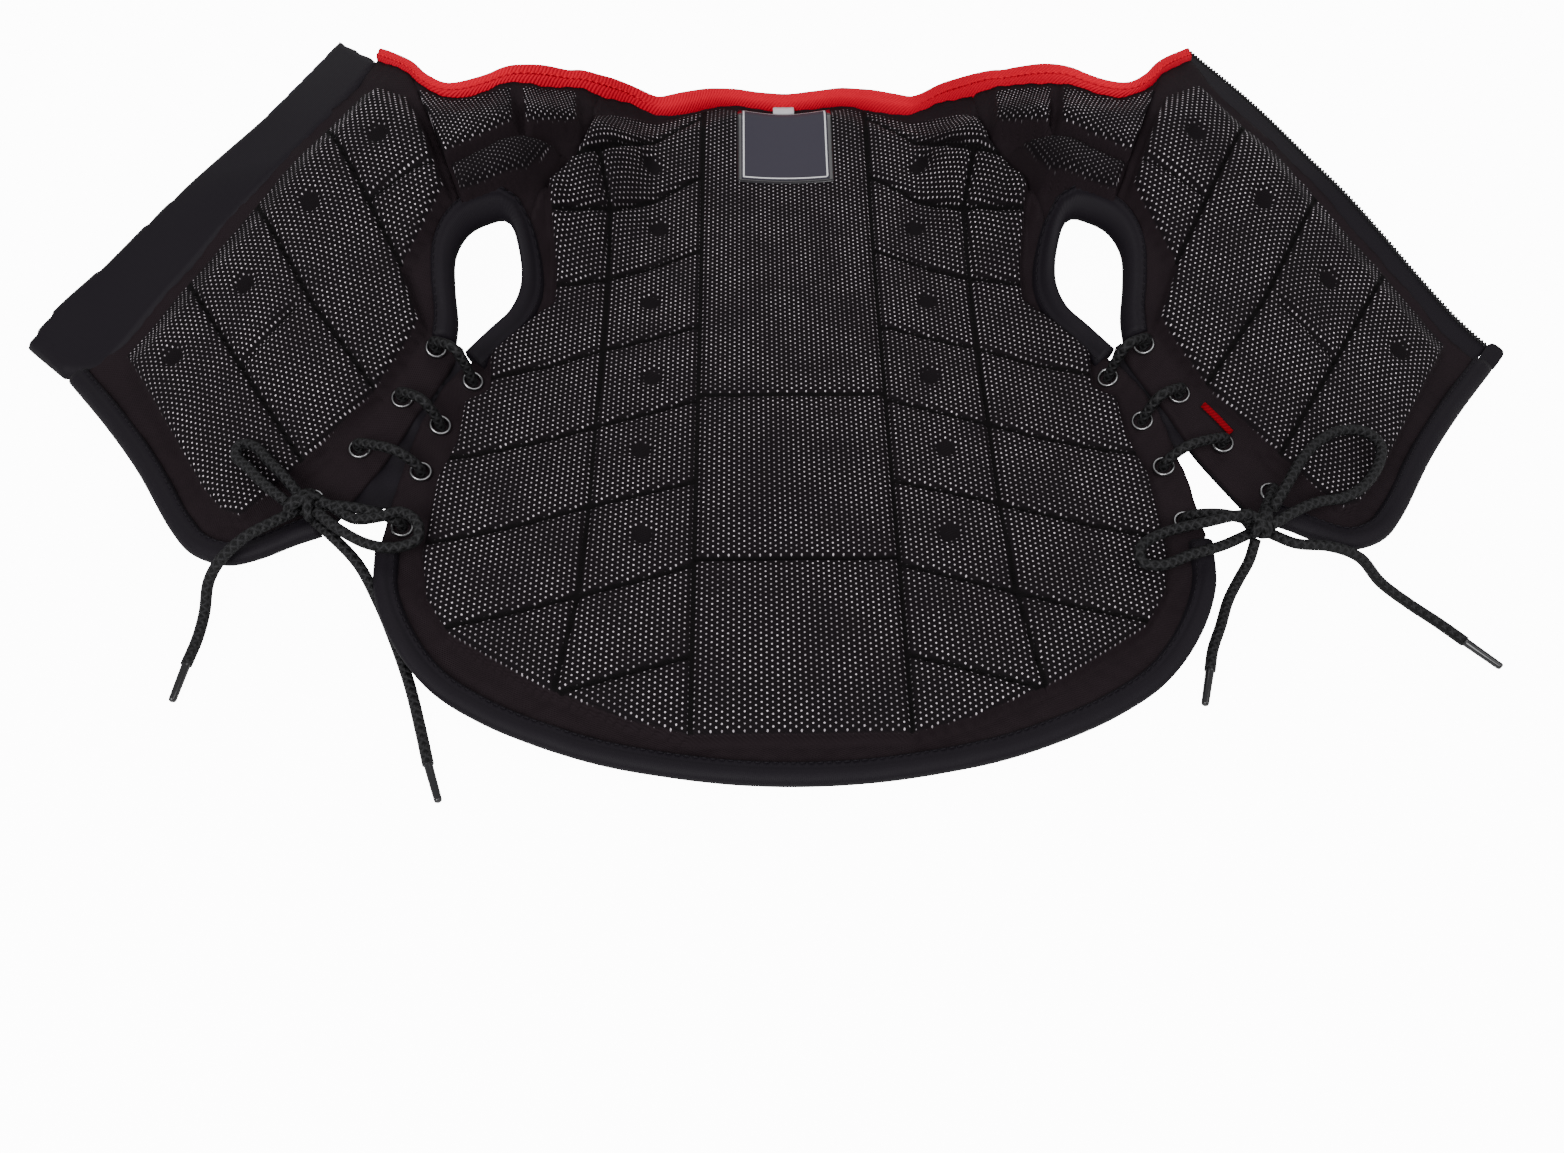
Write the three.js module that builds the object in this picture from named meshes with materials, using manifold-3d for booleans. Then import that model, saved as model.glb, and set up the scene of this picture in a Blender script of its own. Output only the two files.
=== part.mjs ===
// Riding body protector: a padded vest that lies open on a table with its inside up.
//
// Millimetres, +Z up, +Y from the hem to the neck, +X to the right of the centre back. The origin is
// on the table under the middle of the vest. Right and left halves come from the same tables, which
// describe the right half: "across" is a share of HALF_SPAN out from the centre back, "along" is a
// share of HALF_LENGTH from the middle toward the neck. Every piece is drawn flat in plan and then
// laid on one relief, the underside of the opened vest, so that neighbours follow each other.
import * as THREE from 'three';
import { mergeVertices } from 'three/addons/utils/BufferGeometryUtils.js';
import Module from 'manifold-3d';

const wasm = await Module();
wasm.setup();

// Overall sizes
const SPAN = 850;
const LENGTH = 502;
const SHOULDER_RISE = 98;
const HALF_SPAN = SPAN / 2;
const HALF_LENGTH = LENGTH / 2;

// Walls and edges
const GAP = 0.3;
const SHELL_WALL = 2.5;
const LINING_WALL = 2;
const PADDING = 14;
const GROOVE = 3;
const NECK_BINDING = { width: 11, height: 10 };
const HEM_BINDING = { width: 12, height: 9 };
const ARMHOLE_BINDING = { width: 12, height: 8.5 };
const PLACKET_WALL = 6;
const ZIP_TAPE = { width: 8, wall: 1.6 };
const ZIP_COIL = { width: 2.4, height: 3 };
const ZIP_END = { width: 14, length: 9, wall: 2.6 };
const PIPING = { width: 3, height: 2.4 };

// Lacing hardware and lace
const EYELET = { bore: 7.6, barrel: 9.2, flange: 12, rim: 1.6 };
const LACE = 5.6;
const LACE_ARCH = 6;
const KNOT = { width: 20, depth: 16, height: 12, level: 16 };
const AGLET = { diameter: 4.4, length: 20 };

// Label at the nape
const LABEL = { width: 56, length: 68, wall: 0.6, margin: 9 };
const LABEL_TAB = { width: 14, length: 8, wall: 0.6 };

// Levels above the relief
const LINING_LOW = SHELL_WALL + GAP;
const LINING_TOP = LINING_LOW + LINING_WALL;
const LABEL_LOW = PADDING + GAP;

// Mesh fineness: stations of the grid as shares, closer where the vest bends, then steps and sides
const GRID_ACROSS = [0, 0.19, 0.3, 0.38, 0.46, 0.54, 0.64, 0.79, 0.96, 1.1];
const GRID_ALONG = [-1.1, -0.55, -0.22, -0.02, 0.16, 0.31, 0.46, 0.61, 0.78, 0.94, 1.1];
const EDGE_STEPS = { neck: 13, frontEdge: 5, frontHem: 9, armhole: 15, backHem: 10, lacing: 4 };
const TUBE_SIDES = 6;
const RING_SIDES = 8;
const BAR_STEPS = 3;

const FINISH = {
  shell: { color: 0x17161b, roughness: 0.85 },
  lining: { color: 0x26252a, roughness: 0.9 },
  border: { color: 0x141318, roughness: 0.7 },
  red: { color: 0xcf1420, roughness: 0.75 },
  lace: { color: 0x1b1b1d, roughness: 0.8 },
  metal: { color: 0x9a9a9c, roughness: 0.3, metalness: 1 },
  plastic: { color: 0x3a3a3c, roughness: 0.4 },
  label: { color: 0x4a4850, roughness: 0.6 },
  white: { color: 0xe8e8ea, roughness: 0.8 },
};

// Relief of the underside: one row for each station along the vest, one height for each station
// across it, as shares of SHOULDER_RISE. The back lies flat and the shoulders stand highest.
const RELIEF_ACROSS = [0, 0.19, 0.305, 0.4, 0.495, 0.61, 0.755, 0.965];
const RELIEF = [
  { along: -0.93, heights: [0, 0, 0, 0.01, 0.08, 0.09, 0.07, 0.05] },
  { along: -0.49, heights: [0, 0, 0, 0.02, 0.1, 0.12, 0.09, 0.06] },
  { along: -0.25, heights: [0, 0, 0, 0.04, 0.15, 0.19, 0.14, 0.08] },
  { along: -0.01, heights: [0, 0, 0.02, 0.12, 0.31, 0.37, 0.27, 0.1] },
  { along: 0.23, heights: [0, 0, 0.08, 0.31, 0.55, 0.57, 0.43, 0.25] },
  { along: 0.47, heights: [0, 0.04, 0.35, 0.76, 0.86, 0.76, 0.59, 0.41] },
  { along: 0.71, heights: [0.02, 0.16, 0.71, 1, 0.94, 0.78, 0.61, 0.49] },
  { along: 0.94, heights: [0.06, 0.27, 0.82, 1, 0.92, 0.76, 0.59, 0.49] },
];

// Finished edges of the right half, as [across, along]
const NECK_EDGE = [
  [0, 1], [0.094, 0.992], [0.176, 0.9], [0.231, 0.833], [0.273, 0.765], [0.318, 0.709],
  [0.367, 0.645], [0.416, 0.598], [0.459, 0.578], [0.488, 0.605], [0.512, 0.65], [0.567, 0.741],
];
const FRONT_EDGE = [[0.592, 0.672], [0.708, 0.424], [0.807, 0.243], [0.875, 0.106], [0.924, 0.022]];
const FRONT_HEM = [
  [0.947, -0.01], [0.878, -0.14], [0.819, -0.263], [0.755, -0.418], [0.725, -0.47], [0.68, -0.498],
  [0.645, -0.486], [0.6, -0.45], [0.576, -0.434],
];
const FRONT_LACING = [
  [0.566, -0.41], [0.544, -0.35], [0.513, -0.259], [0.485, -0.155], [0.459, -0.068], [0.441, 0.008],
];
const ARMHOLE = [
  [0.442, 0.042], [0.443, 0.096], [0.449, 0.167], [0.447, 0.227], [0.426, 0.275], [0.398, 0.311],
  [0.372, 0.322], [0.358, 0.288], [0.355, 0.231], [0.367, 0.163], [0.395, 0.096], [0.428, 0.022],
];
const BACK_LACING = [
  [0.433, -0.008], [0.452, -0.068], [0.473, -0.155], [0.487, -0.259], [0.496, -0.35], [0.502, -0.455],
];
const BACK_HEM = [
  [0.503, -0.472], [0.492, -0.578], [0.466, -0.685], [0.424, -0.781], [0.365, -0.855],
  [0.294, -0.912], [0.224, -0.952], [0.141, -0.98], [0.071, -0.996], [0, -1],
];

// Seam between the back and the shoulder, seam between the shoulder and the front, and the middle of
// the laced slit. They run past the vest's edges.
const BACK_SEAM = [[0.262, 0.84], [0.28, 0.637], [0.301, 0.546], [0.344, 0.43], [0.372, 0.27]];
const FRONT_SEAM = [[0.52, 0.66], [0.44, 0.34], [0.4, 0.25]];
const SLIT = [
  [0.436, 0.016], [0.456, -0.068], [0.48, -0.155], [0.501, -0.259], [0.52, -0.35], [0.54, -0.5], [0.54, -1.1],
];
const BEYOND = 1.1;

// Padding of the right half of the back. Each seam runs from the centre column over the divider to
// the outer border, and the divider has one point for each seam.
const COLUMN_HALF = 0.124;
const COLUMN_SEAMS = [-0.052, -0.494];
const BACK_SEAMS = [
  { column: 0.87, divider: [0.266, 0.582], outer: [0.345, 0.47] },
  { column: 0.653, divider: [0.252, 0.47], outer: [0.34, 0.383] },
  { column: 0.41, divider: [0.254, 0.291], outer: [0.34, 0.231] },
  { column: 0.159, divider: [0.254, 0.08], outer: [0.42, -0.056] },
  { column: -0.068, divider: [0.256, -0.143], outer: [0.46, -0.267] },
  { column: -0.295, divider: [0.256, -0.359], outer: [0.462, -0.474] },
  { column: -0.51, divider: [0.261, -0.582], outer: [0.44, -0.67] },
  { column: -0.721, divider: [0.28, -0.801], outer: [0.4, -0.88] },
  { column: -0.95, divider: [0.28, -1], outer: [0.4, -1] },
];
const BACK_FIELD = [
  [0.13, 0.935], [0.245, 0.755], [0.274, 0.67], [0.289, 0.58], [0.333, 0.45], [0.325, 0.29],
  [0.325, 0.207], [0.37, 0.104], [0.4, 0.03], [0.398, -0.06], [0.425, -0.1], [0.43, -0.2], [0.447, -0.3],
  [0.452, -0.49],
  [0.44, -0.594], [0.41, -0.67], [0.304, -0.781], [0.198, -0.861], [0.127, -0.895],
];
const TOP_TILE = [[0.14, 0.89], [0.245, 0.745], [0.272, 0.665], [0.266, 0.582]];

// Padding of the right front: the lines between its tiles, each from past the front edge to past the
// side. The first and the last lie outside the padded field.
const FRONT_LINES = [
  [[0.56, 0.74], [0.42, 0.28]],
  [[0.647, 0.582], [0.506, 0.163], [0.482, 0.092]],
  [[0.741, 0.426], [0.614, 0.068], [0.522, -0.13], [0.504, -0.18]],
  [[0.828, 0.255], [0.694, -0.076], [0.602, -0.295], [0.579, -0.35]],
  [[1.05, 0.3], [1.05, -0.6], [0.55, -0.6]],
];
const FRONT_FIELD = [
  [0.512, 0.57], [0.581, 0.625], [0.892, 0.064], [0.835, -0.068], [0.729, -0.335], [0.696, -0.398],
  [0.668, -0.414], [0.638, -0.363], [0.527, -0.124], [0.49, 0], [0.478, 0.05], [0.504, 0.159],
  [0.452, 0.335],
];
const SHOULDER_TILES = [
  [[0.492, 0.55], [0.374, 0.594], [0.365, 0.506], [0.449, 0.394]],
  [[0.366, 0.59], [0.296, 0.7], [0.292, 0.61], [0.357, 0.518]],
  [[0.445, 0.386], [0.36, 0.496], [0.313, 0.54], [0.352, 0.426], [0.43, 0.34]],
];

// Placket of the left front and its outer edge
const PLACKET_OUTER = [
  [0.62, 0.82], [0.71, 0.59], [0.8, 0.43], [0.878, 0.319], [0.972, 0.131], [1, 0.068], [0.962, 0.016],
];

// Trim beside the padding of the right front
const SIDE_PIPING = [[0.529, -0.14], [0.545, -0.175], [0.559, -0.21]];

// Eyelets, from the armhole to the hem
const FRONT_EYELETS = [[0.464, 0.014], [0.499, -0.112], [0.544, -0.235], [0.591, -0.359]];
const BACK_EYELETS = [[0.419, -0.034], [0.452, -0.159], [0.468, -0.279], [0.48, -0.418]];

// Tied ends of the laces: the knot as [across, along], and the free ends with their points in
// millimetres. Each loop and tail starts inside the knot, and an aglet closes each tail.
const TIES = {
  left: {
    knot: [-0.588, -0.398],
    loops: [
      [[-254, -95, 31], [-263, -85, 34], [-272, -76, 35], [-281, -67, 36], [-288, -66, 36],
        [-289, -73, 36], [-281, -81, 35], [-272, -90, 34], [-259, -100, 31]],
      [[-243, -106, 31.5], [-231, -116, 31], [-216, -123, 27], [-202, -124, 25], [-192, -119, 25],
        [-193, -110, 27], [-202, -104, 28], [-212, -107, 28], [-224, -109, 29], [-235, -103, 30],
        [-242, -99, 31]],
    ],
    tails: [
      [[-255, -103, 28], [-264, -111, 30], [-276, -120, 30], [-288, -129, 24], [-296, -137, 15],
        [-299, -149, 5], [-300, -163, 3], [-302, -178, 3], [-304, -198, 3]],
      [[-246, -107, 24.5], [-235, -117, 25], [-222, -129, 18], [-212, -145, 10], [-203, -163, 4.5],
        [-191, -190, 3], [-182, -215, 3], [-176, -233, 3], [-169, -251, 3]],
    ],
  },
  right: {
    knot: [0.558, -0.458],
    loops: [
      [[241, -119, 31], [252, -113, 33], [267, -106, 33], [282, -103, 33], [295, -95, 33], [306, -81, 34],
        [309, -70, 35], [302, -63, 37], [288, -63, 38], [274, -71, 38], [264, -81, 37], [254, -95, 36],
        [244, -109, 32]],
      [[231, -120, 25], [216, -127, 25], [200, -132, 25], [183, -138, 24], [174, -136, 24],
        [174, -128, 25], [184, -121, 26], [195, -118, 28], [209, -117, 32], [220, -115, 33.5],
        [231, -113, 33]],
    ],
    tails: [
      [[235, -122, 23], [233, -129, 14], [229, -135, 6], [222, -146, 3], [215, -161, 3], [208, -175, 3],
        [204, -187, 3], [198, -205, 3]],
      [[243, -119, 24], [254, -126, 25], [271, -128, 25], [288, -131, 19], [301, -139, 8], [315, -149, 3],
        [327, -161, 3], [337, -172, 3], [348, -184, 3]],
    ],
  },
};

const material = (finish) => new THREE.MeshStandardMaterial(FINISH[finish]);

/** Monotone cubic through (xs, ys) at x, flat beyond the ends. */
function smoothStep(xs, ys, x) {
  const last = xs.length - 1;
  if (x <= xs[0]) return ys[0];
  if (x >= xs[last]) return ys[last];
  const secant = (i) => (ys[i + 1] - ys[i]) / (xs[i + 1] - xs[i]);
  const slope = (i) => {
    if (i === 0 || i === last) return 0;
    const before = secant(i - 1);
    const after = secant(i);
    return before * after > 0 ? (2 * before * after) / (before + after) : 0;
  };
  let i = 0;
  while (x > xs[i + 1]) i += 1;
  const h = xs[i + 1] - xs[i];
  const t = (x - xs[i]) / h;
  const a = 2 * t ** 3 - 3 * t ** 2 + 1;
  const b = t ** 3 - 2 * t ** 2 + t;
  const c = t ** 3 - t ** 2;
  return a * ys[i] + b * h * slope(i) + (1 - a) * ys[i + 1] + c * h * slope(i + 1);
}

const reliefRows = RELIEF.map((row) => row.along * HALF_LENGTH);
const reliefColumns = RELIEF_ACROSS.map((share) => share * HALF_SPAN);

/** Smooth height of the underside at a plan point. */
function reliefAt(x, y) {
  const across = RELIEF.map((row) => smoothStep(reliefColumns, row.heights, Math.abs(x)));
  return SHOULDER_RISE * smoothStep(reliefRows, across, y);
}

// Grid that every piece is laid on: node heights and the thickening that a slope needs
const acrossHalf = GRID_ACROSS.map((share) => share * HALF_SPAN);
const gridX = [...acrossHalf.slice(1).reverse().map((x) => -x), ...acrossHalf];
const gridY = GRID_ALONG.map((share) => share * HALF_LENGTH);
const columns = gridX.length - 1;
const rows = gridY.length - 1;
const nodes = gridY.flatMap((y) => gridX.map((x) => {
  const slopeX = (reliefAt(x + 1, y) - reliefAt(x - 1, y)) / 2;
  const slopeY = (reliefAt(x, y + 1) - reliefAt(x, y - 1)) / 2;
  return { height: reliefAt(x, y), stretch: Math.hypot(1, slopeX, slopeY) };
}));
const nodeAt = (i, j) => nodes[j * (columns + 1) + i];
const leansRight = (i) => gridX[i] >= 0;

/** The interval of a rising list that holds a value, and the share of it that lies before. */
function cellOf(stations, value) {
  let i = 0;
  while (i + 2 < stations.length && value > stations[i + 1]) i += 1;
  return [i, (value - stations[i]) / (stations[i + 1] - stations[i])];
}

/** Height of the point that lies offset above the faceted relief at (x, y). */
function lift(x, y, offset) {
  const [i, s] = cellOf(gridX, x);
  const [j, v] = cellOf(gridY, y);
  const right = leansRight(i);
  const u = right ? s : 1 - s;
  const [near, far] = right ? [i, i + 1] : [i + 1, i];
  const level = (node) => node.height + offset * node.stretch;
  const a = level(nodeAt(near, j));
  const b = level(nodeAt(far, j));
  const c = level(nodeAt(far, j + 1));
  const d = level(nodeAt(near, j + 1));
  return u > v ? a + u * (b - a) + v * (c - b) : a + v * (d - a) + u * (c - d);
}

function indexed(positions, triangles) {
  const geometry = new THREE.BufferGeometry();
  geometry.setAttribute('position', new THREE.Float32BufferAttribute(positions.flat(), 3));
  geometry.setIndex(triangles.flat());
  return geometry;
}

/** A closed geometry as a solid that can be joined and cut. */
function toSolid(geometry) {
  const bare = geometry.clone();
  bare.deleteAttribute('normal');
  bare.deleteAttribute('uv');
  const merged = mergeVertices(bare, 1e-4);
  return new wasm.Manifold(new wasm.Mesh({
    numProp: 3,
    vertProperties: new Float32Array(merged.attributes.position.array),
    triVerts: new Uint32Array(merged.index.array),
  }));
}

function toMesh(name, solid, finish) {
  const { vertProperties, triVerts } = solid.getMesh();
  const geometry = new THREE.BufferGeometry();
  geometry.setAttribute('position', new THREE.BufferAttribute(vertProperties, 3));
  geometry.setIndex(new THREE.BufferAttribute(triVerts, 1));
  geometry.computeVertexNormals();
  const mesh = new THREE.Mesh(geometry, material(finish));
  mesh.name = name;
  return mesh;
}

/** The whole relief between two offsets, as one closed slab. */
function slab(low, high) {
  const count = (columns + 1) * (rows + 1);
  const positions = [];
  for (const offset of [low, high]) {
    for (let j = 0; j <= rows; j += 1) {
      for (let i = 0; i <= columns; i += 1) {
        const node = nodeAt(i, j);
        positions.push([gridX[i], gridY[j], node.height + offset * node.stretch]);
      }
    }
  }
  const triangles = [];
  const wall = (a, b) => triangles.push([a, b, b + count], [a, b + count, a + count]);
  for (let j = 0; j < rows; j += 1) {
    for (let i = 0; i < columns; i += 1) {
      const a = j * (columns + 1) + i;
      const [b, c, d] = [a + 1, a + columns + 2, a + columns + 1];
      const faces = leansRight(i) ? [[a, b, c], [a, c, d]] : [[a, b, d], [b, c, d]];
      for (const [p, q, r] of faces) {
        triangles.push([p + count, q + count, r + count], [r, q, p]);
      }
    }
  }
  for (let i = 0; i < columns; i += 1) {
    wall(i, i + 1);
    wall(count - 1 - i, count - 2 - i);
  }
  for (let j = 0; j < rows; j += 1) {
    wall((j + 1) * (columns + 1) - 1, (j + 2) * (columns + 1) - 1);
    wall((rows - j) * (columns + 1), (rows - j - 1) * (columns + 1));
  }
  return toSolid(indexed(positions, triangles));
}

const reach = SHOULDER_RISE + 4 * PADDING;

/** A tall prism over a plan outline. */
function prism(outline) {
  const shape = new THREE.Shape(outline.map(([x, y]) => new THREE.Vector2(x, y)));
  const geometry = new THREE.ExtrudeGeometry(shape, { depth: 2 * reach, bevelEnabled: false });
  return toSolid(geometry.translate(0, 0, -reach));
}

const joined = (solids) => solids.reduce((a, b) => a.add(b));
const inPlan = (points) => points.map(([across, along]) => [across * HALF_SPAN, along * HALF_LENGTH]);
const onSide = (points, side) => points.map(([x, y, ...rest]) => [side * x, y, ...rest]);
const mirrored = (points) => [...points, ...onSide(points, -1).reverse()];

/** Smooth plan line through a table's points. */
function smoothLine(table, steps) {
  const points = inPlan(table).map(([x, y]) => new THREE.Vector3(x, y, 0));
  const curve = new THREE.CatmullRomCurve3(points, false, 'centripetal');
  return curve.getPoints(steps).map((p) => [p.x, p.y]);
}

/** Unit offsets to the right of a line's direction of travel, mitred at its corners. */
function mitres(line, closed = false) {
  const count = line.length;
  const at = (i) => line[closed ? (i + count) % count : Math.min(Math.max(i, 0), count - 1)];
  return line.map((_, i) => {
    const sides = [[i - 1, i], [i, i + 1]].map(([from, to]) => {
      const [dx, dy] = [at(to)[0] - at(from)[0], at(to)[1] - at(from)[1]];
      const length = Math.hypot(dx, dy);
      return length ? [dy / length, -dx / length] : null;
    });
    const [before, after] = [sides[0] ?? sides[1], sides[1] ?? sides[0]];
    const [sx, sy] = [before[0] + after[0], before[1] + after[1]];
    const scale = 2 / (sx * sx + sy * sy);
    return [sx * scale, sy * scale];
  });
}

/** The line moved to its right by a distance. */
function shifted(line, distance, closed = false) {
  const offsets = mitres(line, closed);
  return line.map(([x, y], i) => [x + distance * offsets[i][0], y + distance * offsets[i][1]]);
}

/** A polygon listed counterclockwise, drawn in by a margin. */
const drawnIn = (outline, margin) => shifted(outline, -margin, true);

/** A rounded edging that follows a plan line and lies to its right, laid on the relief. */
function edging(line, { width, height }, inset = 0, low = 0) {
  const offsets = mitres(line);
  const flatSide = Math.cos(Math.PI / TUBE_SIDES);
  const positions = [];
  line.forEach(([x, y], i) => {
    for (let k = 0; k < TUBE_SIDES; k += 1) {
      const angle = (2 * Math.PI * (k + 0.5)) / TUBE_SIDES;
      const away = inset + (width / 2) * (1 - Math.cos(angle) / flatSide);
      const offset = low + (height / 2) * (1 + Math.sin(angle));
      const [px, py] = [x + away * offsets[i][0], y + away * offsets[i][1]];
      positions.push([px, py, lift(px, py, offset)]);
    }
  });
  const triangles = [];
  for (let i = 0; i + 1 < line.length; i += 1) {
    for (let k = 0; k < TUBE_SIDES; k += 1) {
      const a = i * TUBE_SIDES + k;
      const b = i * TUBE_SIDES + ((k + 1) % TUBE_SIDES);
      triangles.push([a, b, b + TUBE_SIDES], [a, b + TUBE_SIDES, a + TUBE_SIDES]);
    }
  }
  const end = (line.length - 1) * TUBE_SIDES;
  for (let k = 1; k + 1 < TUBE_SIDES; k += 1) {
    triangles.push([0, k + 1, k], [end, end + k, end + k + 1]);
  }
  return toSolid(indexed(positions, triangles));
}

// Edges in plan, each travelled so that the vest lies to its right. The neck runs from left to right
// and the back hem from right to left; the others are those of the right half.
const wholeOf = (half) => [...half, ...onSide(half.slice(0, -1), -1).reverse()];
const neckLine = smoothLine(onSide(wholeOf(NECK_EDGE.slice().reverse()), -1), 2 * EDGE_STEPS.neck);
const frontLine = smoothLine(FRONT_EDGE, EDGE_STEPS.frontEdge);
const frontHemLine = smoothLine(FRONT_HEM, EDGE_STEPS.frontHem);
const frontLacingLine = smoothLine(FRONT_LACING, EDGE_STEPS.lacing);
const armholeLine = smoothLine(ARMHOLE, EDGE_STEPS.armhole);
const backLacingLine = smoothLine(BACK_LACING, EDGE_STEPS.lacing);
const backHemLine = smoothLine(wholeOf(BACK_HEM), 2 * EDGE_STEPS.backHem);

const sideOutline = [
  ...frontLine,
  ...shifted(frontHemLine, HEM_BINDING.width + GAP).slice(1),
  ...frontLacingLine,
  ...shifted(armholeLine, ARMHOLE_BINDING.width + GAP),
  ...backLacingLine,
];
const vestOutline = [
  ...shifted(neckLine, NECK_BINDING.width + GAP),
  ...sideOutline,
  ...shifted(backHemLine, HEM_BINDING.width + GAP),
  ...onSide(sideOutline, -1).reverse(),
];

/** A right half's outline or line on either side, travelled the same way round. */
const counter = (points, side) => (side > 0 ? points : onSide(points, side).reverse());

const circle = ([x, y], radius) => Array.from({ length: RING_SIDES }, (_, k) => {
  const angle = (2 * Math.PI * k) / RING_SIDES;
  return [x + radius * Math.cos(angle), y + radius * Math.sin(angle)];
});

const SIDES = [{ name: 'right', side: 1 }, { name: 'left', side: -1 }];
const eyeletPlaces = SIDES.flatMap(({ name, side }) => (
  [['front', FRONT_EYELETS], ['back', BACK_EYELETS]].flatMap(([panel, table]) => (
    onSide(inPlan(table), side).map((place, i) => ({ name: `eyelet_${panel}_${name}_${i + 1}`, place }))
  ))
));
const eyeletHoles = joined(eyeletPlaces.map(({ place }) => prism(circle(place, EYELET.barrel / 2 + GAP))));
const vest = prism(vestOutline).subtract(eyeletHoles);

// Zones of the panels, parted at the seams and along the laced slit
const farX = BEYOND * HALF_SPAN;
const farY = BEYOND * HALF_LENGTH;
const backSeam = inPlan(BACK_SEAM);
const frontSeam = inPlan(FRONT_SEAM);
const slit = inPlan(SLIT);
const backLimit = shifted([[backSeam[0][0], farY], ...backSeam, ...slit], GAP / 2);
const frontLimit = shifted([[frontSeam[0][0], farY], ...frontSeam, ...slit], -GAP / 2);
const shoulderLimit = [...shifted(backSeam, -GAP / 2), ...shifted(frontSeam, GAP / 2).reverse()];
const backZone = vest.intersect(prism([...backLimit, ...counter(backLimit, -1)]));
const frontCut = [...frontLimit, [farX, -farY], [farX, farY]];
const frontZone = (side) => vest.intersect(prism(counter(frontCut, side)));
const shoulderZone = (side) => vest.intersect(prism(counter(shoulderLimit, side)));

const shellSlab = slab(0, SHELL_WALL);
const liningSlab = slab(LINING_LOW, LINING_TOP);
const tileSlab = slab(LINING_LOW, PADDING);

/** The padded lining of a zone: a thin sheet with foam tiles, clipped to the field, standing on it. */
function padding(zone, tiles, field) {
  const blocks = joined(tiles.map((tile) => prism(drawnIn(tile, GROOVE / 2))));
  const standing = (field ? blocks.intersect(prism(field)) : blocks).intersect(zone);
  return liningSlab.intersect(zone).add(tileSlab.intersect(standing));
}

/** Tiles beside the centre column on the right half of the back, counterclockwise. */
function backTiles() {
  const seams = BACK_SEAMS.map((seam) => inPlan([[COLUMN_HALF, seam.column], seam.divider, seam.outer]));
  const tiles = seams.slice(1).flatMap((lower, i) => {
    const upper = seams[i];
    return [[lower[0], lower[1], upper[1], upper[0]], [lower[1], lower[2], upper[2], upper[1]]];
  });
  return [inPlan(TOP_TILE).reverse(), ...tiles];
}

/** Tiles of the centre column. */
function columnTiles() {
  const ends = [BEYOND, ...COLUMN_SEAMS, -BEYOND];
  return ends.slice(1).map((lower, i) => inPlan([
    [-COLUMN_HALF, lower], [COLUMN_HALF, lower], [COLUMN_HALF, ends[i]], [-COLUMN_HALF, ends[i]],
  ]));
}

/** Tiles of the right front, counterclockwise. */
function frontTiles() {
  const lines = FRONT_LINES.map(inPlan);
  return lines.slice(1).map((next, i) => [...lines[i], ...next.slice().reverse()]);
}

/** Plan outline of a strip beside a line, between two distances to its left. */
const strip = (line, near, away) => [...shifted(line, -near), ...shifted(line, -away).reverse()];

/** A metal eyelet: a barrel through the fabric with a rolled rim on top, laid on the relief. */
function eyelet([x, y]) {
  const [bore, barrel, flange] = [EYELET.bore / 2, EYELET.barrel / 2, EYELET.flange / 2];
  const seat = LINING_TOP + GAP;
  const profile = [
    [bore, GAP], [barrel, GAP], [barrel, seat], [flange, seat],
    [(flange + bore) / 2, seat + EYELET.rim], [bore, seat], [bore, GAP],
  ].map(([r, z]) => new THREE.Vector2(r, z));
  const geometry = new THREE.LatheGeometry(profile, RING_SIDES).rotateX(Math.PI / 2).rotateZ(Math.PI / 2);
  const position = geometry.attributes.position;
  for (let i = 0; i < position.count; i += 1) {
    const [px, py] = [x + position.getX(i), y + position.getY(i)];
    position.setXYZ(i, px, py, lift(px, py, position.getZ(i)));
  }
  return toSolid(geometry);
}

const group = new THREE.Group();
const add = (name, solid, finish) => group.add(toMesh(name, solid, finish));

add('back_shell', shellSlab.intersect(backZone), 'shell');
const backField = inPlan(mirrored(BACK_FIELD));
const allBackTiles = [...columnTiles(), ...backTiles(), ...backTiles().map((tile) => counter(tile, -1))];
add('back_padding', padding(backZone, allBackTiles, backField), 'lining');
add('neck_binding', edging(neckLine, NECK_BINDING), 'red');
add('hem_binding_back', edging(backHemLine, HEM_BINDING), 'border');

for (const { name, side } of SIDES) {
  const [front, shoulder] = [frontZone(side), shoulderZone(side)];
  add(`front_shell_${name}`, shellSlab.intersect(front), 'shell');
  const frontField = counter(inPlan(FRONT_FIELD), side);
  const tiles = frontTiles().map((tile) => counter(tile, side));
  add(`front_padding_${name}`, padding(front, tiles, frontField), 'lining');
  add(`shoulder_shell_${name}`, shellSlab.intersect(shoulder), 'shell');
  const blocks = SHOULDER_TILES.map((tile) => counter(inPlan(tile), side));
  add(`shoulder_padding_${name}`, padding(shoulder, blocks), 'lining');
  add(`hem_binding_front_${name}`, edging(counter(frontHemLine, side), HEM_BINDING), 'border');
  add(`armhole_binding_${name}`, edging(counter(armholeLine, side), ARMHOLE_BINDING), 'border');
}

for (const { name, place } of eyeletPlaces) add(name, eyelet(place), 'metal');

// Placket along the left front edge
const placketOutline = [...shifted(frontLine, -GAP), ...inPlan(PLACKET_OUTER).reverse()];
add('placket', slab(0, PLACKET_WALL).intersect(prism(onSide(placketOutline, -1))), 'border');

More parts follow.
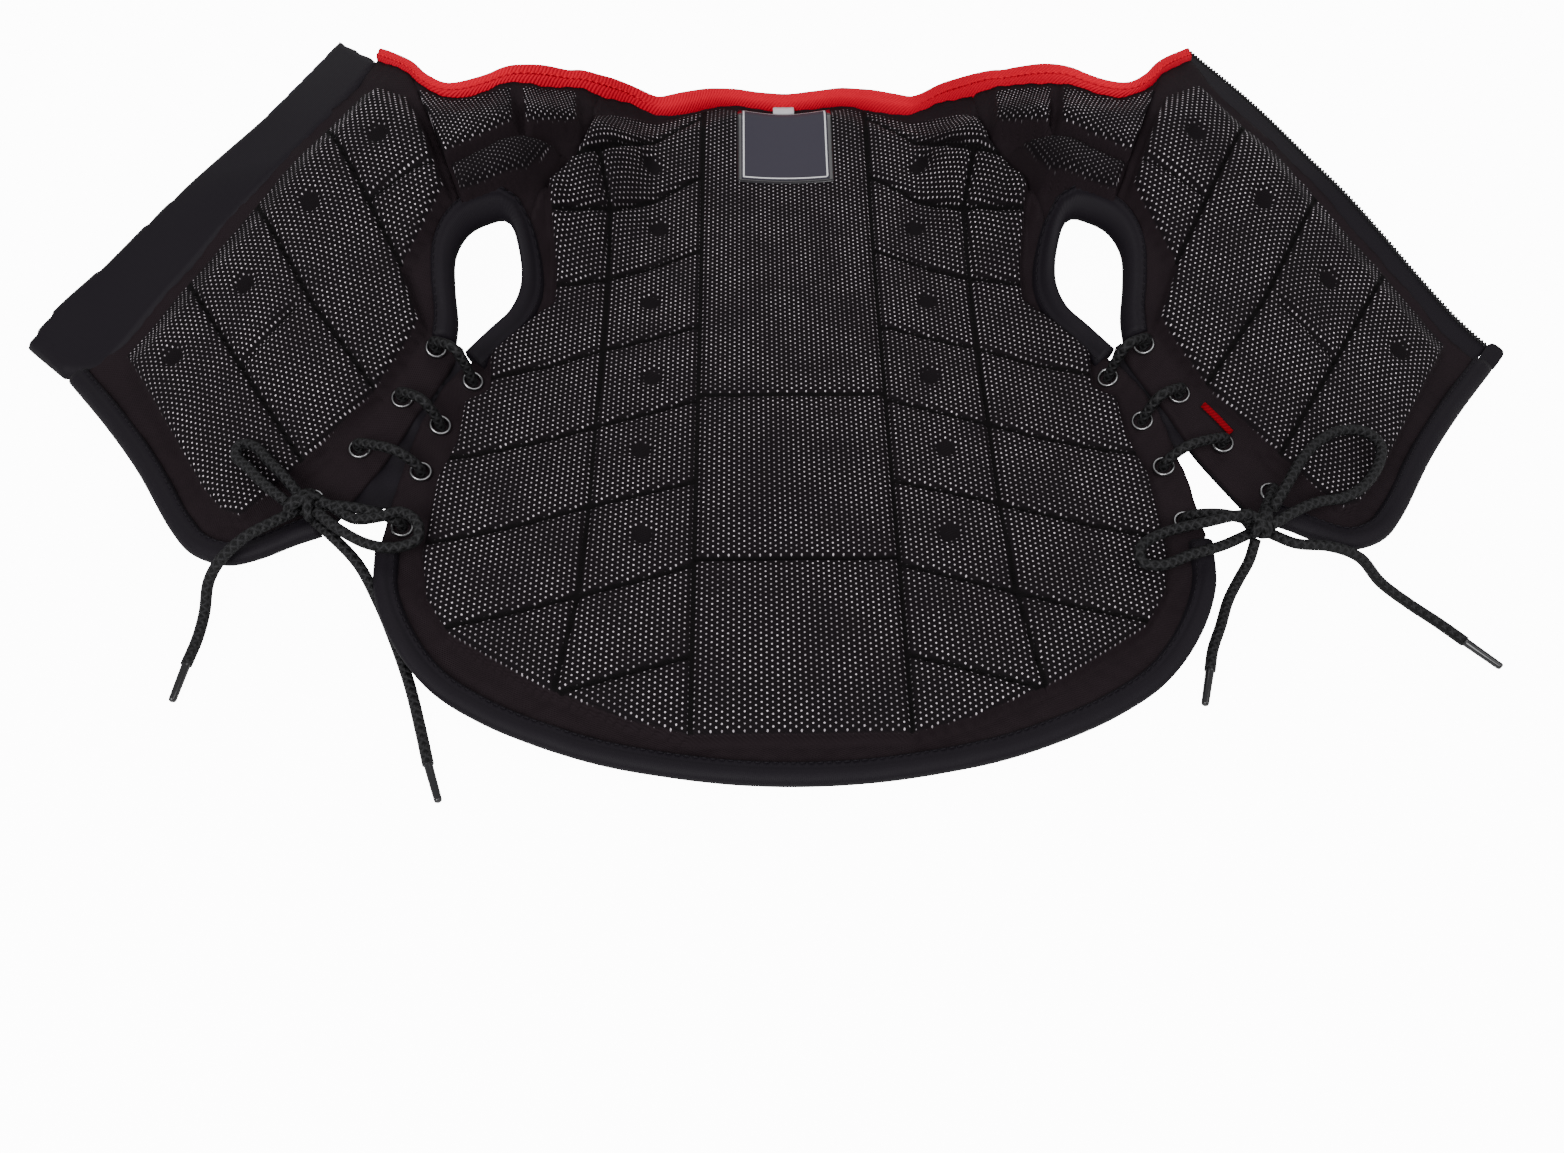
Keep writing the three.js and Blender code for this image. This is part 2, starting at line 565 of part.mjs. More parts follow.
// Zip half along the right front edge
const tapeEnd = GAP + ZIP_TAPE.width;
add('zip_tape', slab(GAP, GAP + ZIP_TAPE.wall).intersect(prism(strip(frontLine, GAP, tapeEnd))), 'border');
add('zip_coil', edging(frontLine, ZIP_COIL, -(tapeEnd + GAP + ZIP_COIL.width)), 'border');

// Small tag that closes the lower end of the tape
const endRun = frontLine.slice(-2);
const tagStart = [0, 1].map((axis) => endRun[1][axis]);
const edgeLength = Math.hypot(endRun[1][0] - endRun[0][0], endRun[1][1] - endRun[0][1]);
const edgeWay = [0, 1].map((axis) => (endRun[1][axis] - endRun[0][axis]) / edgeLength);
const tagRow = (distance) => [0, 1].map((axis) => tagStart[axis] + distance * edgeWay[axis]);
const tagLine = [tagRow(GAP), tagRow(GAP + ZIP_END.length)];
const tagOutline = strip(tagLine, HEM_BINDING.width / 4, HEM_BINDING.width / 4 + ZIP_END.width);
add('zip_end', slab(GAP, GAP + ZIP_END.wall).intersect(prism(tagOutline)), 'border');

// Trim that shows beside the right front's padding
add('side_piping_right', edging(inPlan(SIDE_PIPING), PIPING, 0, LINING_TOP + GAP), 'red');

// Label at the nape with its small care tab
const labelTop = HALF_LENGTH - NECK_BINDING.width - LABEL.margin;
const box = (half, low, high) => [[-half, low], [half, low], [half, high], [-half, high]];
const labelFace = prism(box(LABEL.width / 2, labelTop - LABEL.length, labelTop));
add('label', slab(LABEL_LOW, LABEL_LOW + LABEL.wall).intersect(labelFace), 'label');
const tabFace = prism(box(LABEL_TAB.width / 2, labelTop + GAP, labelTop + GAP + LABEL_TAB.length));
add('label_tab', slab(LABEL_LOW, LABEL_LOW + LABEL_TAB.wall).intersect(tabFace), 'white');

// Laces: bars between the upper eyelets, and a bow below them whose free ends are nodes of their own
const vectors = (points) => points.map((point) => new THREE.Vector3(...point));
const route = (points) => new THREE.CatmullRomCurve3(vectors(points), false, 'centripetal');

/** A round lace along a curve. */
function tube(path, diameter, steps) {
  const section = new THREE.Shape(circle([0, 0], diameter / 2).map(([x, y]) => new THREE.Vector2(x, y)));
  return toSolid(new THREE.ExtrudeGeometry(section, { steps, bevelEnabled: false, extrudePath: path }));
}

const laceTop = LINING_TOP + 2 * GAP + EYELET.rim + LACE / 2;
const upThrough = ([x, y]) => [SHELL_WALL, LINING_TOP, laceTop].map((level) => [x, y, lift(x, y, level)]);
const between = (a, b, share) => a.map((value, i) => value + share * (b[i] - value));

/** Stations of a lace from one eyelet over the fabric to a point above another place. */
function overFabric(from, to, highest) {
  const middle = [0.3, 0.7].map((share) => between(from, to, share));
  return middle.map(([x, y]) => [x, y, Math.max(highest, lift(x, y, laceTop))]);
}

/** A lace that joins two eyelets. */
function bar(from, to) {
  const [rise, fall] = [upThrough(from), upThrough(to).reverse()];
  const highest = Math.max(rise[2][2], fall[0][2]) + LACE_ARCH / 2;
  return tube(route([...rise, ...overFabric(from, to, highest), ...fall]), LACE, 3 * BAR_STEPS);
}

const cordNodes = [];
for (const { name, side } of SIDES) {
  const tie = TIES[name];
  const [fronts, backs] = [FRONT_EYELETS, BACK_EYELETS].map((table) => onSide(inPlan(table), side));
  const lacedRows = fronts.slice(0, -1);
  lacedRows.forEach((front, i) => add(`lace_bar_${name}_${i + 1}`, bar(front, backs[i]), 'lace'));

  const loops = tie.loops.map((points, i) => [`lace_loop_${name}_${i + 1}`, points]);
  const tails = tie.tails.map((points, i) => [`lace_tail_${name}_${i + 1}`, points]);
  const freeEnds = [...loops, ...tails.map(([node, points]) => [node, points.slice(0, -1)])];
  const pockets = freeEnds.map(([, points]) => tube(route(points), LACE + 3 * GAP, points.length + 2));
  const [knotX, knotY] = inPlan([tie.knot])[0];
  const knotZ = lift(knotX, knotY, KNOT.level);
  const lump = new THREE.SphereGeometry(0.5, RING_SIDES, RING_SIDES - 2).rotateX(Math.PI / 2);
  lump.scale(KNOT.width, KNOT.depth, KNOT.height).translate(knotX, knotY, knotZ);
  const strands = [fronts, backs].map((places) => {
    const rise = upThrough(places[places.length - 1]);
    const highest = Math.max(knotZ, rise[2][2] + LACE_ARCH / 2);
    const over = between(rise[2], [knotX, knotY, highest], 0.4);
    over[2] = highest;
    return tube(route([...rise, over, [knotX, knotY, knotZ]]), LACE, 2 * BAR_STEPS);
  });
  add(`lace_knot_${name}`, joined([toSolid(lump), ...strands]).subtract(joined(pockets)), 'lace');
  for (const [node, points] of [...loops, ...tails]) {
    const isTail = tails.some(([other]) => other === node);
    const lacePoints = isTail ? points.slice(0, -1) : points;
    add(node, tube(route(lacePoints), LACE, lacePoints.length + 2), 'lace');
    cordNodes.push(node);
    if (!isTail) continue;
    const [from, to] = vectors(points.slice(-2));
    const way = to.clone().sub(from).normalize();
    const start = from.clone().addScaledVector(way, GAP);
    const path = new THREE.LineCurve3(start, start.clone().addScaledVector(way, AGLET.length));
    const aglet = node.replace('tail', 'aglet');
    add(aglet, tube(path, AGLET.diameter, 1), 'plastic');
    cordNodes.push(aglet);
  }
}

// The origin goes to the middle of the vest's box, which the free lace ends don't count in
const bounds = new THREE.Box3();
for (const mesh of group.children) {
  if (!cordNodes.includes(mesh.name)) bounds.expandByObject(mesh);
}
const centre = bounds.getCenter(new THREE.Vector3());
group.position.set(-centre.x, -centre.y, -bounds.min.z);

export default group;
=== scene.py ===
"""Looks of a padded riding vest that lies open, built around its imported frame.

Plan points are millimetres in the pattern's frame, whose origin is the centre back; meshes are metres
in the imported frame. Tables describe the right half: across is a share of HALF_SPAN, along a share of
HALF_LENGTH. The left half is its mirror image.
"""
from __future__ import annotations

import logging
import math
from dataclasses import dataclass, field
from enum import Enum
from functools import cache

import bpy
import numpy as np
from mathutils import Matrix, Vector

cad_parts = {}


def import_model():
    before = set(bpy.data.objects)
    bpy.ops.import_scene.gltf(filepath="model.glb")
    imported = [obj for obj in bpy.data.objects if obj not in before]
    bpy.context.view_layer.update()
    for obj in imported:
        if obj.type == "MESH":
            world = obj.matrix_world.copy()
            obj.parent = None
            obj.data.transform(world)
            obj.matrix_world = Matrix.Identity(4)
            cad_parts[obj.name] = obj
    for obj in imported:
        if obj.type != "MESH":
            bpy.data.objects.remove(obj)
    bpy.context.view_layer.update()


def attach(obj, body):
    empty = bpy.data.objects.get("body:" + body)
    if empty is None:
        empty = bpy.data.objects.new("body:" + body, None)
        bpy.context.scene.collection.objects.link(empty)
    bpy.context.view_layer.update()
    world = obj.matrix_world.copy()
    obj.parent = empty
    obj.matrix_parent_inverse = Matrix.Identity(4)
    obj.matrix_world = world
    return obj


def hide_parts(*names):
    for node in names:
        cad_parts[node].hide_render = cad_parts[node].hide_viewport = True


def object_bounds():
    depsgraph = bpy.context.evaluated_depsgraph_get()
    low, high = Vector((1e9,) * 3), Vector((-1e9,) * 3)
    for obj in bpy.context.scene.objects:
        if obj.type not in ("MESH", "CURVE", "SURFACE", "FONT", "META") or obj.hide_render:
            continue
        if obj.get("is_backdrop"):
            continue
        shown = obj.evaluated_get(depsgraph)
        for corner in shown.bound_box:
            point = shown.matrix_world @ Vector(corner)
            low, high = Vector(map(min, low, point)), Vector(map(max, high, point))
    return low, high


LOG = logging.getLogger("vest")
MM = 0.001
SHIFT = np.array([6.854, 0.0, 0.0])

HALF_SPAN = 425.0
HALF_LENGTH = 251.0
SHOULDER_RISE = 98.0
SHELL_WALL = 2.5
LINING_TOP = 4.8
ON_LINING = LINING_TOP + 0.3
PADDING = 14.0
PLACKET_WALL = 6.0
LACE = 5.6

RELIEF_ACROSS = (0, 0.19, 0.305, 0.4, 0.495, 0.61, 0.755, 0.965)
RELIEF_ALONG = (-0.93, -0.49, -0.25, -0.01, 0.23, 0.47, 0.71, 0.94)
RELIEF = (
    (0, 0, 0, 0.01, 0.08, 0.09, 0.07, 0.05),
    (0, 0, 0, 0.02, 0.1, 0.12, 0.09, 0.06),
    (0, 0, 0, 0.04, 0.15, 0.19, 0.14, 0.08),
    (0, 0, 0.02, 0.12, 0.31, 0.37, 0.27, 0.1),
    (0, 0, 0.08, 0.31, 0.55, 0.57, 0.43, 0.25),
    (0, 0.04, 0.35, 0.76, 0.86, 0.76, 0.59, 0.41),
    (0.02, 0.16, 0.71, 1, 0.94, 0.78, 0.61, 0.49),
    (0.06, 0.27, 0.82, 1, 0.92, 0.76, 0.59, 0.49),
)

NECK_EDGE = (
    (0, 1), (0.094, 0.992), (0.176, 0.9), (0.231, 0.833), (0.273, 0.765), (0.318, 0.709),
    (0.367, 0.645), (0.416, 0.598), (0.459, 0.582), (0.488, 0.612), (0.512, 0.664), (0.567, 0.757),
)
FRONT_EDGE = ((0.592, 0.672), (0.708, 0.424), (0.807, 0.243), (0.875, 0.106), (0.924, 0.022))
FRONT_HEM = (
    (0.947, -0.01), (0.878, -0.14), (0.819, -0.263), (0.755, -0.418), (0.725, -0.47),
    (0.68, -0.498), (0.645, -0.486), (0.6, -0.45), (0.576, -0.434),
)
FRONT_LACING = (
    (0.566, -0.41), (0.544, -0.35), (0.513, -0.259), (0.485, -0.155), (0.459, -0.068), (0.441, 0.008),
)
ARMHOLE = (
    (0.441, 0.042), (0.44, 0.096), (0.445, 0.167), (0.445, 0.235), (0.43, 0.29), (0.405, 0.327),
    (0.381, 0.343), (0.37, 0.3), (0.368, 0.231), (0.38, 0.163), (0.405, 0.1), (0.43, 0.03),
)
BACK_LACING = (
    (0.433, -0.008), (0.452, -0.068), (0.473, -0.155), (0.487, -0.259), (0.496, -0.35), (0.502, -0.455),
)
BACK_HEM = (
    (0.508, -0.472), (0.5, -0.578), (0.471, -0.684), (0.427, -0.774), (0.365, -0.843),
    (0.293, -0.897), (0.223, -0.936), (0.141, -0.964), (0.071, -0.979), (0, -0.984),
)
BACK_SEAM = ((0.262, 0.84), (0.28, 0.637), (0.301, 0.546), (0.344, 0.43), (0.372, 0.27))
FRONT_SEAM = ((0.52, 0.66), (0.44, 0.34), (0.4, 0.25))
SLIT = (
    (0.436, 0.016), (0.456, -0.068), (0.48, -0.155), (0.501, -0.259), (0.52, -0.35), (0.54, -0.5),
    (0.54, -1.1),
)
GUSSET_TIP = (0.437, 0.055)
BEYOND = 1.1

COLUMN_HALF = 0.124
COLUMN_SEAMS = (-0.052, -0.494)
BACK_SEAMS = (
    ((0.124, 0.87), (0.266, 0.582), (0.345, 0.47)),
    ((0.124, 0.653), (0.252, 0.47), (0.34, 0.383)),
    ((0.124, 0.41), (0.254, 0.291), (0.34, 0.231)),
    ((0.124, 0.159), (0.254, 0.08), (0.42, -0.056)),
    ((0.124, -0.068), (0.256, -0.143), (0.46, -0.267)),
    ((0.124, -0.295), (0.256, -0.359), (0.462, -0.474)),
    ((0.124, -0.51), (0.261, -0.582), (0.44, -0.67)),
    ((0.124, -0.721), (0.28, -0.801), (0.4, -0.88)),
)
BACK_FIELD = (
    (0.13, 0.935), (0.245, 0.755), (0.274, 0.67), (0.289, 0.58), (0.333, 0.45), (0.325, 0.29),
    (0.325, 0.207), (0.37, 0.104), (0.4, 0.03), (0.398, -0.06), (0.425, -0.1), (0.43, -0.2),
    (0.447, -0.3), (0.452, -0.49), (0.44, -0.594), (0.41, -0.67), (0.304, -0.781), (0.198, -0.861),
    (0.127, -0.895),
)
BACK_SPOTS = (
    (0.198, 0.65), (0.186, 0.47), (0.193, 0.235), (0.186, 0), (0.195, -0.211), (0.188, -0.434),
)
FRONT_LINES = (
    ((0.647, 0.582), (0.506, 0.163), (0.482, 0.092)),
    ((0.741, 0.426), (0.614, 0.068), (0.522, -0.13), (0.504, -0.18)),
    ((0.828, 0.255), (0.694, -0.076), (0.602, -0.295), (0.579, -0.35)),
)
FRONT_FIELD = (
    (0.512, 0.57), (0.581, 0.625), (0.892, 0.064), (0.835, -0.068), (0.729, -0.335), (0.696, -0.398),
    (0.668, -0.414), (0.638, -0.363), (0.527, -0.124), (0.49, 0), (0.478, 0.05), (0.504, 0.159),
    (0.452, 0.335),
)
FRONT_SUB_SEAMS = (((0.55, 0.3), (0.445, 0.402)), ((0.699, -0.06), (0.635, 0.06)))
FRONT_SPOTS = ((0.541, 0.438), (0.628, 0.299), (0.708, 0.131), (0.795, -0.016))
SHOULDER_TILES = (
    ((0.511, 0.592), (0.47, 0.572), (0.42, 0.592), (0.376, 0.63), (0.367, 0.504), (0.458, 0.39)),
    ((0.368, 0.632), (0.296, 0.73), (0.292, 0.606), (0.358, 0.513)),
    ((0.452, 0.38), (0.36, 0.495), (0.313, 0.54), (0.352, 0.424), (0.436, 0.328)),
)
PLACKET_OUTER = (
    (0.651, 0.9), (0.735, 0.65), (0.819, 0.474), (0.896, 0.354), (0.996, 0.17), (1.022, 0.088),
    (0.966, 0.012),
)
FRONT_EYELETS = ((0.464, 0.014), (0.499, -0.112), (0.544, -0.235), (0.591, -0.359))
BACK_EYELETS = ((0.419, -0.034), (0.452, -0.159), (0.468, -0.279), (0.48, -0.418))
SIDE_PIPING = ((0.529, -0.14), (0.545, -0.175), (0.559, -0.21))

# How far some tapes sit in from their edge, in millimetres, and how much narrower some are off the middle
PULLS = {"hem_tape_front_left": -1.8, "hem_tape_front_right": 2.0}
PINCHES = {"neck_tape": 0.42}

# Free lace ends, in millimetres, as the frame has them: loops, then tails whose last point ends the aglet
TIES = {
    "left": {
        "knot": (-0.588, -0.398),
        "loops": (
            ((-254, -95, 31), (-263, -85, 34), (-272, -76, 35), (-281, -67, 36), (-288, -66, 36),
             (-289, -73, 36), (-281, -81, 35), (-272, -90, 34), (-259, -100, 31)),
            ((-243, -106, 31.5), (-231, -116, 31), (-216, -123, 27), (-202, -124, 25), (-192, -119, 25),
             (-193, -110, 27), (-202, -104, 28), (-212, -107, 28), (-224, -109, 29), (-235, -103, 30),
             (-242, -99, 31)),
        ),
        "tails": (
            ((-255, -103, 28), (-264, -111, 30), (-276, -120, 30), (-288, -129, 24), (-296, -137, 15),
             (-299, -149, 5), (-300, -163, 3), (-302, -178, 3), (-304, -198, 3)),
            ((-246, -107, 24.5), (-235, -117, 25), (-222, -129, 18), (-212, -145, 10), (-203, -163, 4.5),
             (-191, -190, 3), (-182, -215, 3), (-176, -233, 3), (-169, -251, 3)),
        ),
    },
    "right": {
        "knot": (0.558, -0.458),
        "loops": (
            ((241, -119, 31), (252, -113, 33), (267, -106, 33), (282, -103, 33), (295, -95, 33),
             (306, -81, 34), (309, -70, 35), (302, -63, 37), (288, -63, 38), (274, -71, 38),
             (264, -81, 37), (254, -95, 36), (244, -109, 32)),
            ((231, -120, 25), (216, -127, 25), (200, -132, 25), (183, -138, 24), (174, -136, 24),
             (174, -128, 25), (184, -121, 26), (195, -118, 28), (209, -117, 32), (220, -115, 33.5),
             (231, -113, 33)),
        ),
        "tails": (
            ((235, -122, 23), (233, -129, 14), (229, -135, 6), (222, -146, 3), (215, -161, 3),
             (208, -175, 3), (204, -187, 3), (198, -205, 3)),
            ((243, -119, 24), (254, -126, 25), (271, -128, 25), (288, -131, 19), (301, -139, 8),
             (315, -149, 3), (327, -161, 3), (337, -172, 3), (348, -184, 3)),
        ),
    },
}


class Side(Enum):
    """The two mirrored halves of the vest."""

    RIGHT = 1
    LEFT = -1

    @property
    def label(self) -> str:
        """The half's name in node names."""
        return self.name.lower()


def monotone(stations: np.ndarray, values: np.ndarray, at: np.ndarray) -> np.ndarray:
    """Monotone cubic through stations, flat beyond the ends.

    Args:
        stations: Rising stations, one for each row of values.
        values: Values at the stations, one column for each point.
        at: Where each point is read.

    Returns:
        One value for each point.
    """
    step = np.diff(stations)[:, None]
    secant = np.diff(values, axis=0) / step
    product = secant[:-1] * secant[1:]
    total = np.where(product > 0, secant[:-1] + secant[1:], 1)
    slope = np.zeros_like(values)
    slope[1:-1] = np.where(product > 0, 2 * product / total, 0)
    i = np.clip(np.searchsorted(stations, at, "right") - 1, 0, len(stations) - 2)
    k = np.arange(len(at))
    h = step[i, 0]
    t = np.clip((at - stations[i]) / h, 0, 1)
    a = 2 * t**3 - 3 * t**2 + 1
    b = t**3 - 2 * t**2 + t
    c = t**3 - t**2
    return a * values[i, k] + b * h * slope[i, k] + (1 - a) * values[i + 1, k] + c * h * slope[i + 1, k]


def height(plan: np.ndarray) -> np.ndarray:
    """Height of the vest's underside at plan points."""
    stations = np.array(RELIEF_ACROSS) * HALF_SPAN
    across = np.abs(plan[:, 0])
    columns = [np.repeat(np.array(row, float)[:, None], len(across), 1) for row in RELIEF]
    rows = np.array([monotone(stations, column, across) for column in columns])
    return SHOULDER_RISE * monotone(np.array(RELIEF_ALONG) * HALF_LENGTH, rows, plan[:, 1])


def lift(plan: np.ndarray, offset: np.ndarray | float) -> np.ndarray:
    """Puts plan points at an offset above the underside.

    Args:
        plan: Points as rows of x and y.
        offset: Thickness above the underside, measured square to it.

    Returns:
        Points as rows of x, y and z.
    """
    plan = np.asarray(plan, float)
    dx, dy = np.array([1.0, 0.0]), np.array([0.0, 1.0])
    slope_x = (height(plan + dx) - height(plan - dx)) / 2
    slope_y = (height(plan + dy) - height(plan - dy)) / 2
    z = height(plan) + offset * np.sqrt(1 + slope_x**2 + slope_y**2)
    return np.column_stack([plan, z])


def in_plan(table: tuple, side: Side = Side.RIGHT) -> np.ndarray:
    """Plan points of a table of shares, on either side."""
    return np.array(table, float) * [HALF_SPAN * side.value, HALF_LENGTH]


def spline(points: np.ndarray, per_span: int) -> np.ndarray:
    """Centripetal curve through points.

    Args:
        points: Rows of coordinates.
        per_span: How many steps each span gets.

    Returns:
        The points along the curve, with the given ones among them.
    """
    points = np.asarray(points, float)
    padded = np.vstack([2 * points[0] - points[1], points, 2 * points[-1] - points[-2]])
    t = np.linspace(0, 1, per_span, endpoint=False)[:, None]
    out = []
    for p0, p1, p2, p3 in zip(padded[:-3], padded[1:-2], padded[2:-1], padded[3:]):
        d0, d1, d2 = (max(math.sqrt(np.linalg.norm(q - p)), 1e-4) for p, q in ((p0, p1), (p1, p2), (p2, p3)))
        m1 = ((p1 - p0) / d0 - (p2 - p0) / (d0 + d1) + (p2 - p1) / d1) * d1
        m2 = ((p2 - p1) / d1 - (p3 - p1) / (d1 + d2) + (p3 - p2) / d2) * d1
        c2 = -3 * p1 + 3 * p2 - 2 * m1 - m2
        c3 = 2 * p1 - 2 * p2 + m1 + m2
        out.append(p1 + m1 * t + c2 * t**2 + c3 * t**3)
    return np.vstack([*out, points[-1:]])


def mitres(line: np.ndarray) -> np.ndarray:
    """Unit offsets to the right of a line's direction of travel, mitred at its corners."""
    steps = np.diff(line, axis=0)
    ahead, before = np.vstack([steps, steps[-1:]]), np.vstack([steps[:1], steps])
    sides = []
    for way in (before, ahead):
        length = np.maximum(np.linalg.norm(way, axis=1, keepdims=True), 1e-9)
        sides.append(np.column_stack([way[:, 1], -way[:, 0]]) / length)
    total = sides[0] + sides[1]
    return total * (2 / np.maximum((total**2).sum(1, keepdims=True), 0.5))


def shifted(line: np.ndarray, distance: float) -> np.ndarray:
    """The line moved to its right by a distance."""
    return line + distance * mitres(line)


def mirrored(line: np.ndarray) -> np.ndarray:
    """A right half's line on the left, travelled the same way round."""
    return (line * [-1, 1])[::-1]


def counter(line: np.ndarray, side: Side) -> np.ndarray:
    """A right half's line or outline on either side."""
    return line if side is Side.RIGHT else mirrored(line)


def resampled(line: np.ndarray, step: float) -> np.ndarray:
    """The line in even steps of about the given length."""
    run = np.concatenate([[0], np.cumsum(np.linalg.norm(np.diff(line, axis=0), axis=1))])
    count = max(2, round(run[-1] / step) + 1)
    at = np.linspace(0, run[-1], count)
    return np.column_stack([np.interp(at, run, line[:, k]) for k in range(line.shape[1])])


def inside(polygon: np.ndarray, points: np.ndarray) -> np.ndarray:
    """Which plan points lie in a polygon."""
    result = np.zeros(len(points), bool)
    for (ax, ay), (bx, by) in zip(polygon, np.roll(polygon, -1, 0)):
        if ay == by:
            continue
        crosses = (ay > points[:, 1]) != (by > points[:, 1])
        result ^= crosses & (points[:, 0] < (bx - ax) * (points[:, 1] - ay) / (by - ay) + ax)
    return result


def nearest(lines: list[np.ndarray], points: np.ndarray) -> tuple[np.ndarray, np.ndarray]:
    """Finds the closest place on any of several lines.

    Args:
        lines: Polylines in plan.
        points: Plan points.

    Returns:
        The distance and the closest place for each point.
    """
    best = np.full(len(points), 1e9)
    place = points.copy()
    for line in lines:
        for a, b in zip(line[:-1], line[1:]):
            way = b - a
            size = way @ way
            t = np.clip((points - a) @ way / size, 0, 1) if size else np.zeros(len(points))
            foot = a + t[:, None] * way
            distance = np.hypot(*(points - foot).T)
            closer = distance < best
            best = np.where(closer, distance, best)
            place[closer] = foot[closer]
    return best, place


def closed(polygon: np.ndarray) -> np.ndarray:
    """A polygon as a line that ends where it starts."""
    return np.vstack([polygon, polygon[:1]])


SMOOTH = 8


def edge_lines() -> dict[str, np.ndarray]:
    """Finished edges of the right half, each travelled with the vest on its right."""
    def whole(half: np.ndarray) -> np.ndarray:
        return np.vstack([half, (half[:-1] * [-1, 1])[::-1]])

    neck = whole(in_plan(NECK_EDGE)[::-1])
    return {
        "neck": spline(neck * [-1, 1], SMOOTH),
        "front": spline(in_plan(FRONT_EDGE), SMOOTH),
        "front_hem": spline(in_plan(FRONT_HEM), SMOOTH),
        "front_lacing": spline(in_plan(FRONT_LACING), SMOOTH),
        "armhole": spline(in_plan(ARMHOLE), SMOOTH),
        "back_lacing": spline(in_plan(BACK_LACING), SMOOTH),
        "back_hem": spline(whole(in_plan(BACK_HEM)), SMOOTH),
    }


EDGES = edge_lines()

# Where a pinched tape starts to narrow and how long that takes, as shares of HALF_LENGTH
PINCH_START, PINCH_RUN = 0.26, 0.16

# How far the lining runs in under the tapes, and how far its mesh stays off each finished edge
UNDER_BINDING = 5.0
NECK_MARGIN = 12.0
SHOULDER_MARGIN = 6.0
ZIP_MARGIN = 6.0
PLACKET_MARGIN = 10.0

# Padding: how far its edge takes to reach full thickness, and the share of it that is left at the edge
TAPER_RUN = 22
EDGE_SHARE = 0.12

# Distances that stand for none in reach, and a stand-in spot distance that dims a tile's mesh dots as painted
# shade
FAR = 99.0
SHADE_DIM_SPOT = 5.4


def vest_outline() -> np.ndarray:
    """Plan outline of the lining, which runs in under the bindings."""
    half = np.vstack([
        EDGES["front"],
        shifted(EDGES["front_hem"], UNDER_BINDING),
        EDGES["front_lacing"],
        shifted(EDGES["armhole"], UNDER_BINDING),
        EDGES["back_lacing"],
    ])
    neck, hem = shifted(EDGES["neck"], UNDER_BINDING), shifted(EDGES["back_hem"], UNDER_BINDING)
    return np.vstack([neck, half, hem, mirrored(half)])


@dataclass
class Parts:
    """Faces gathered for one object, with their cloth coordinates."""

    points: list[np.ndarray] = field(default_factory=list)
    faces: list[tuple[int, ...]] = field(default_factory=list)
    grain: list[np.ndarray] = field(default_factory=list)
    edge: list[np.ndarray] = field(default_factory=list)
    count: int = 0

    def add(self, points: np.ndarray, faces: list, grain: np.ndarray, edge: np.ndarray | None = None) -> None:
        """Adds a mesh.

        Args:
            points: Millimetres in the pattern's frame.
            faces: Corner numbers of each face.
            grain: Millimetres across and along the cloth at each point.
            edge: Distances to the padded field's border, the seams and the spots; on tiles in painted shade
                the last is a stand-in that dims the dots.
        """
        self.faces.extend(tuple(i + self.count for i in f) for f in faces)
        self.points.append(points)
        flat = np.zeros((len(points), 3))
        flat[:, : grain.shape[1]] = grain
        self.grain.append(flat)
        self.edge.append(np.zeros((len(points), 3)) if edge is None else edge)
        self.count += len(points)

    def to_object(self, name: str, finish: Finish, stands_for: str = "") -> bpy.types.Object:
        """Makes the object.

        Args:
            name: The object's name.
            finish: Its finish.
            stands_for: The frame's node that it replaces, if any.

        Returns:
            The new object, riding on the root body.
        """
        mesh = bpy.data.meshes.new(name)
        points = (np.vstack(self.points) + SHIFT) * MM
        mesh.from_pydata(points.tolist(), [], self.faces)
        mesh.shade_smooth()
        for attribute, rows in (("grain", self.grain), ("edge", self.edge)):
            layer = mesh.attributes.new(attribute, "FLOAT_VECTOR", "POINT")
            layer.data.foreach_set("vector", np.vstack(rows).astype(np.float32).ravel())
        mesh.materials.append(finish.material())
        thing = bpy.data.objects.new(name, mesh)
        bpy.context.scene.collection.objects.link(thing)
        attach(thing, "root")
        if stands_for:
            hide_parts(stands_for)
        return thing


def tube(path: np.ndarray, width: np.ndarray | float, sides: int = 12) -> tuple[np.ndarray, list, np.ndarray]:
    """Round tube along a path, closed at both ends.

    Args:
        path: Centreline in millimetres.
        width: Diameter, the same all along or one for each point.
        sides: Corners of the section.

    Returns:
        Points, faces and cloth coordinates.
    """
    way = np.gradient(path, axis=0)
    way /= np.linalg.norm(way, axis=1, keepdims=True)
    side = np.cross(way[0], [0.3, 0.2, 1.0])
    side /= np.linalg.norm(side)
    sides_list = []
    for tangent in way:
        side = side - tangent * (side @ tangent)
        side /= np.linalg.norm(side)
        sides_list.append(side)
    right = np.array(sides_list)
    up = np.cross(right, way)
    angle = np.linspace(0, 2 * math.pi, sides, endpoint=False)
    radius = np.broadcast_to(np.asarray(width, float) / 2, (len(path),))
    ring = np.cos(angle)[None, :, None] * right[:, None] + np.sin(angle)[None, :, None] * up[:, None]
    points = path[:, None] + radius[:, None, None] * ring
    run = np.concatenate([[0], np.cumsum(np.linalg.norm(np.diff(path, axis=0), axis=1))])
    grain = np.stack(np.broadcast_arrays(angle[None] / (2 * math.pi), run[:, None]), -1)
    return points.reshape(-1, 3), tube_faces(len(path), sides), grain.reshape(-1, 2)


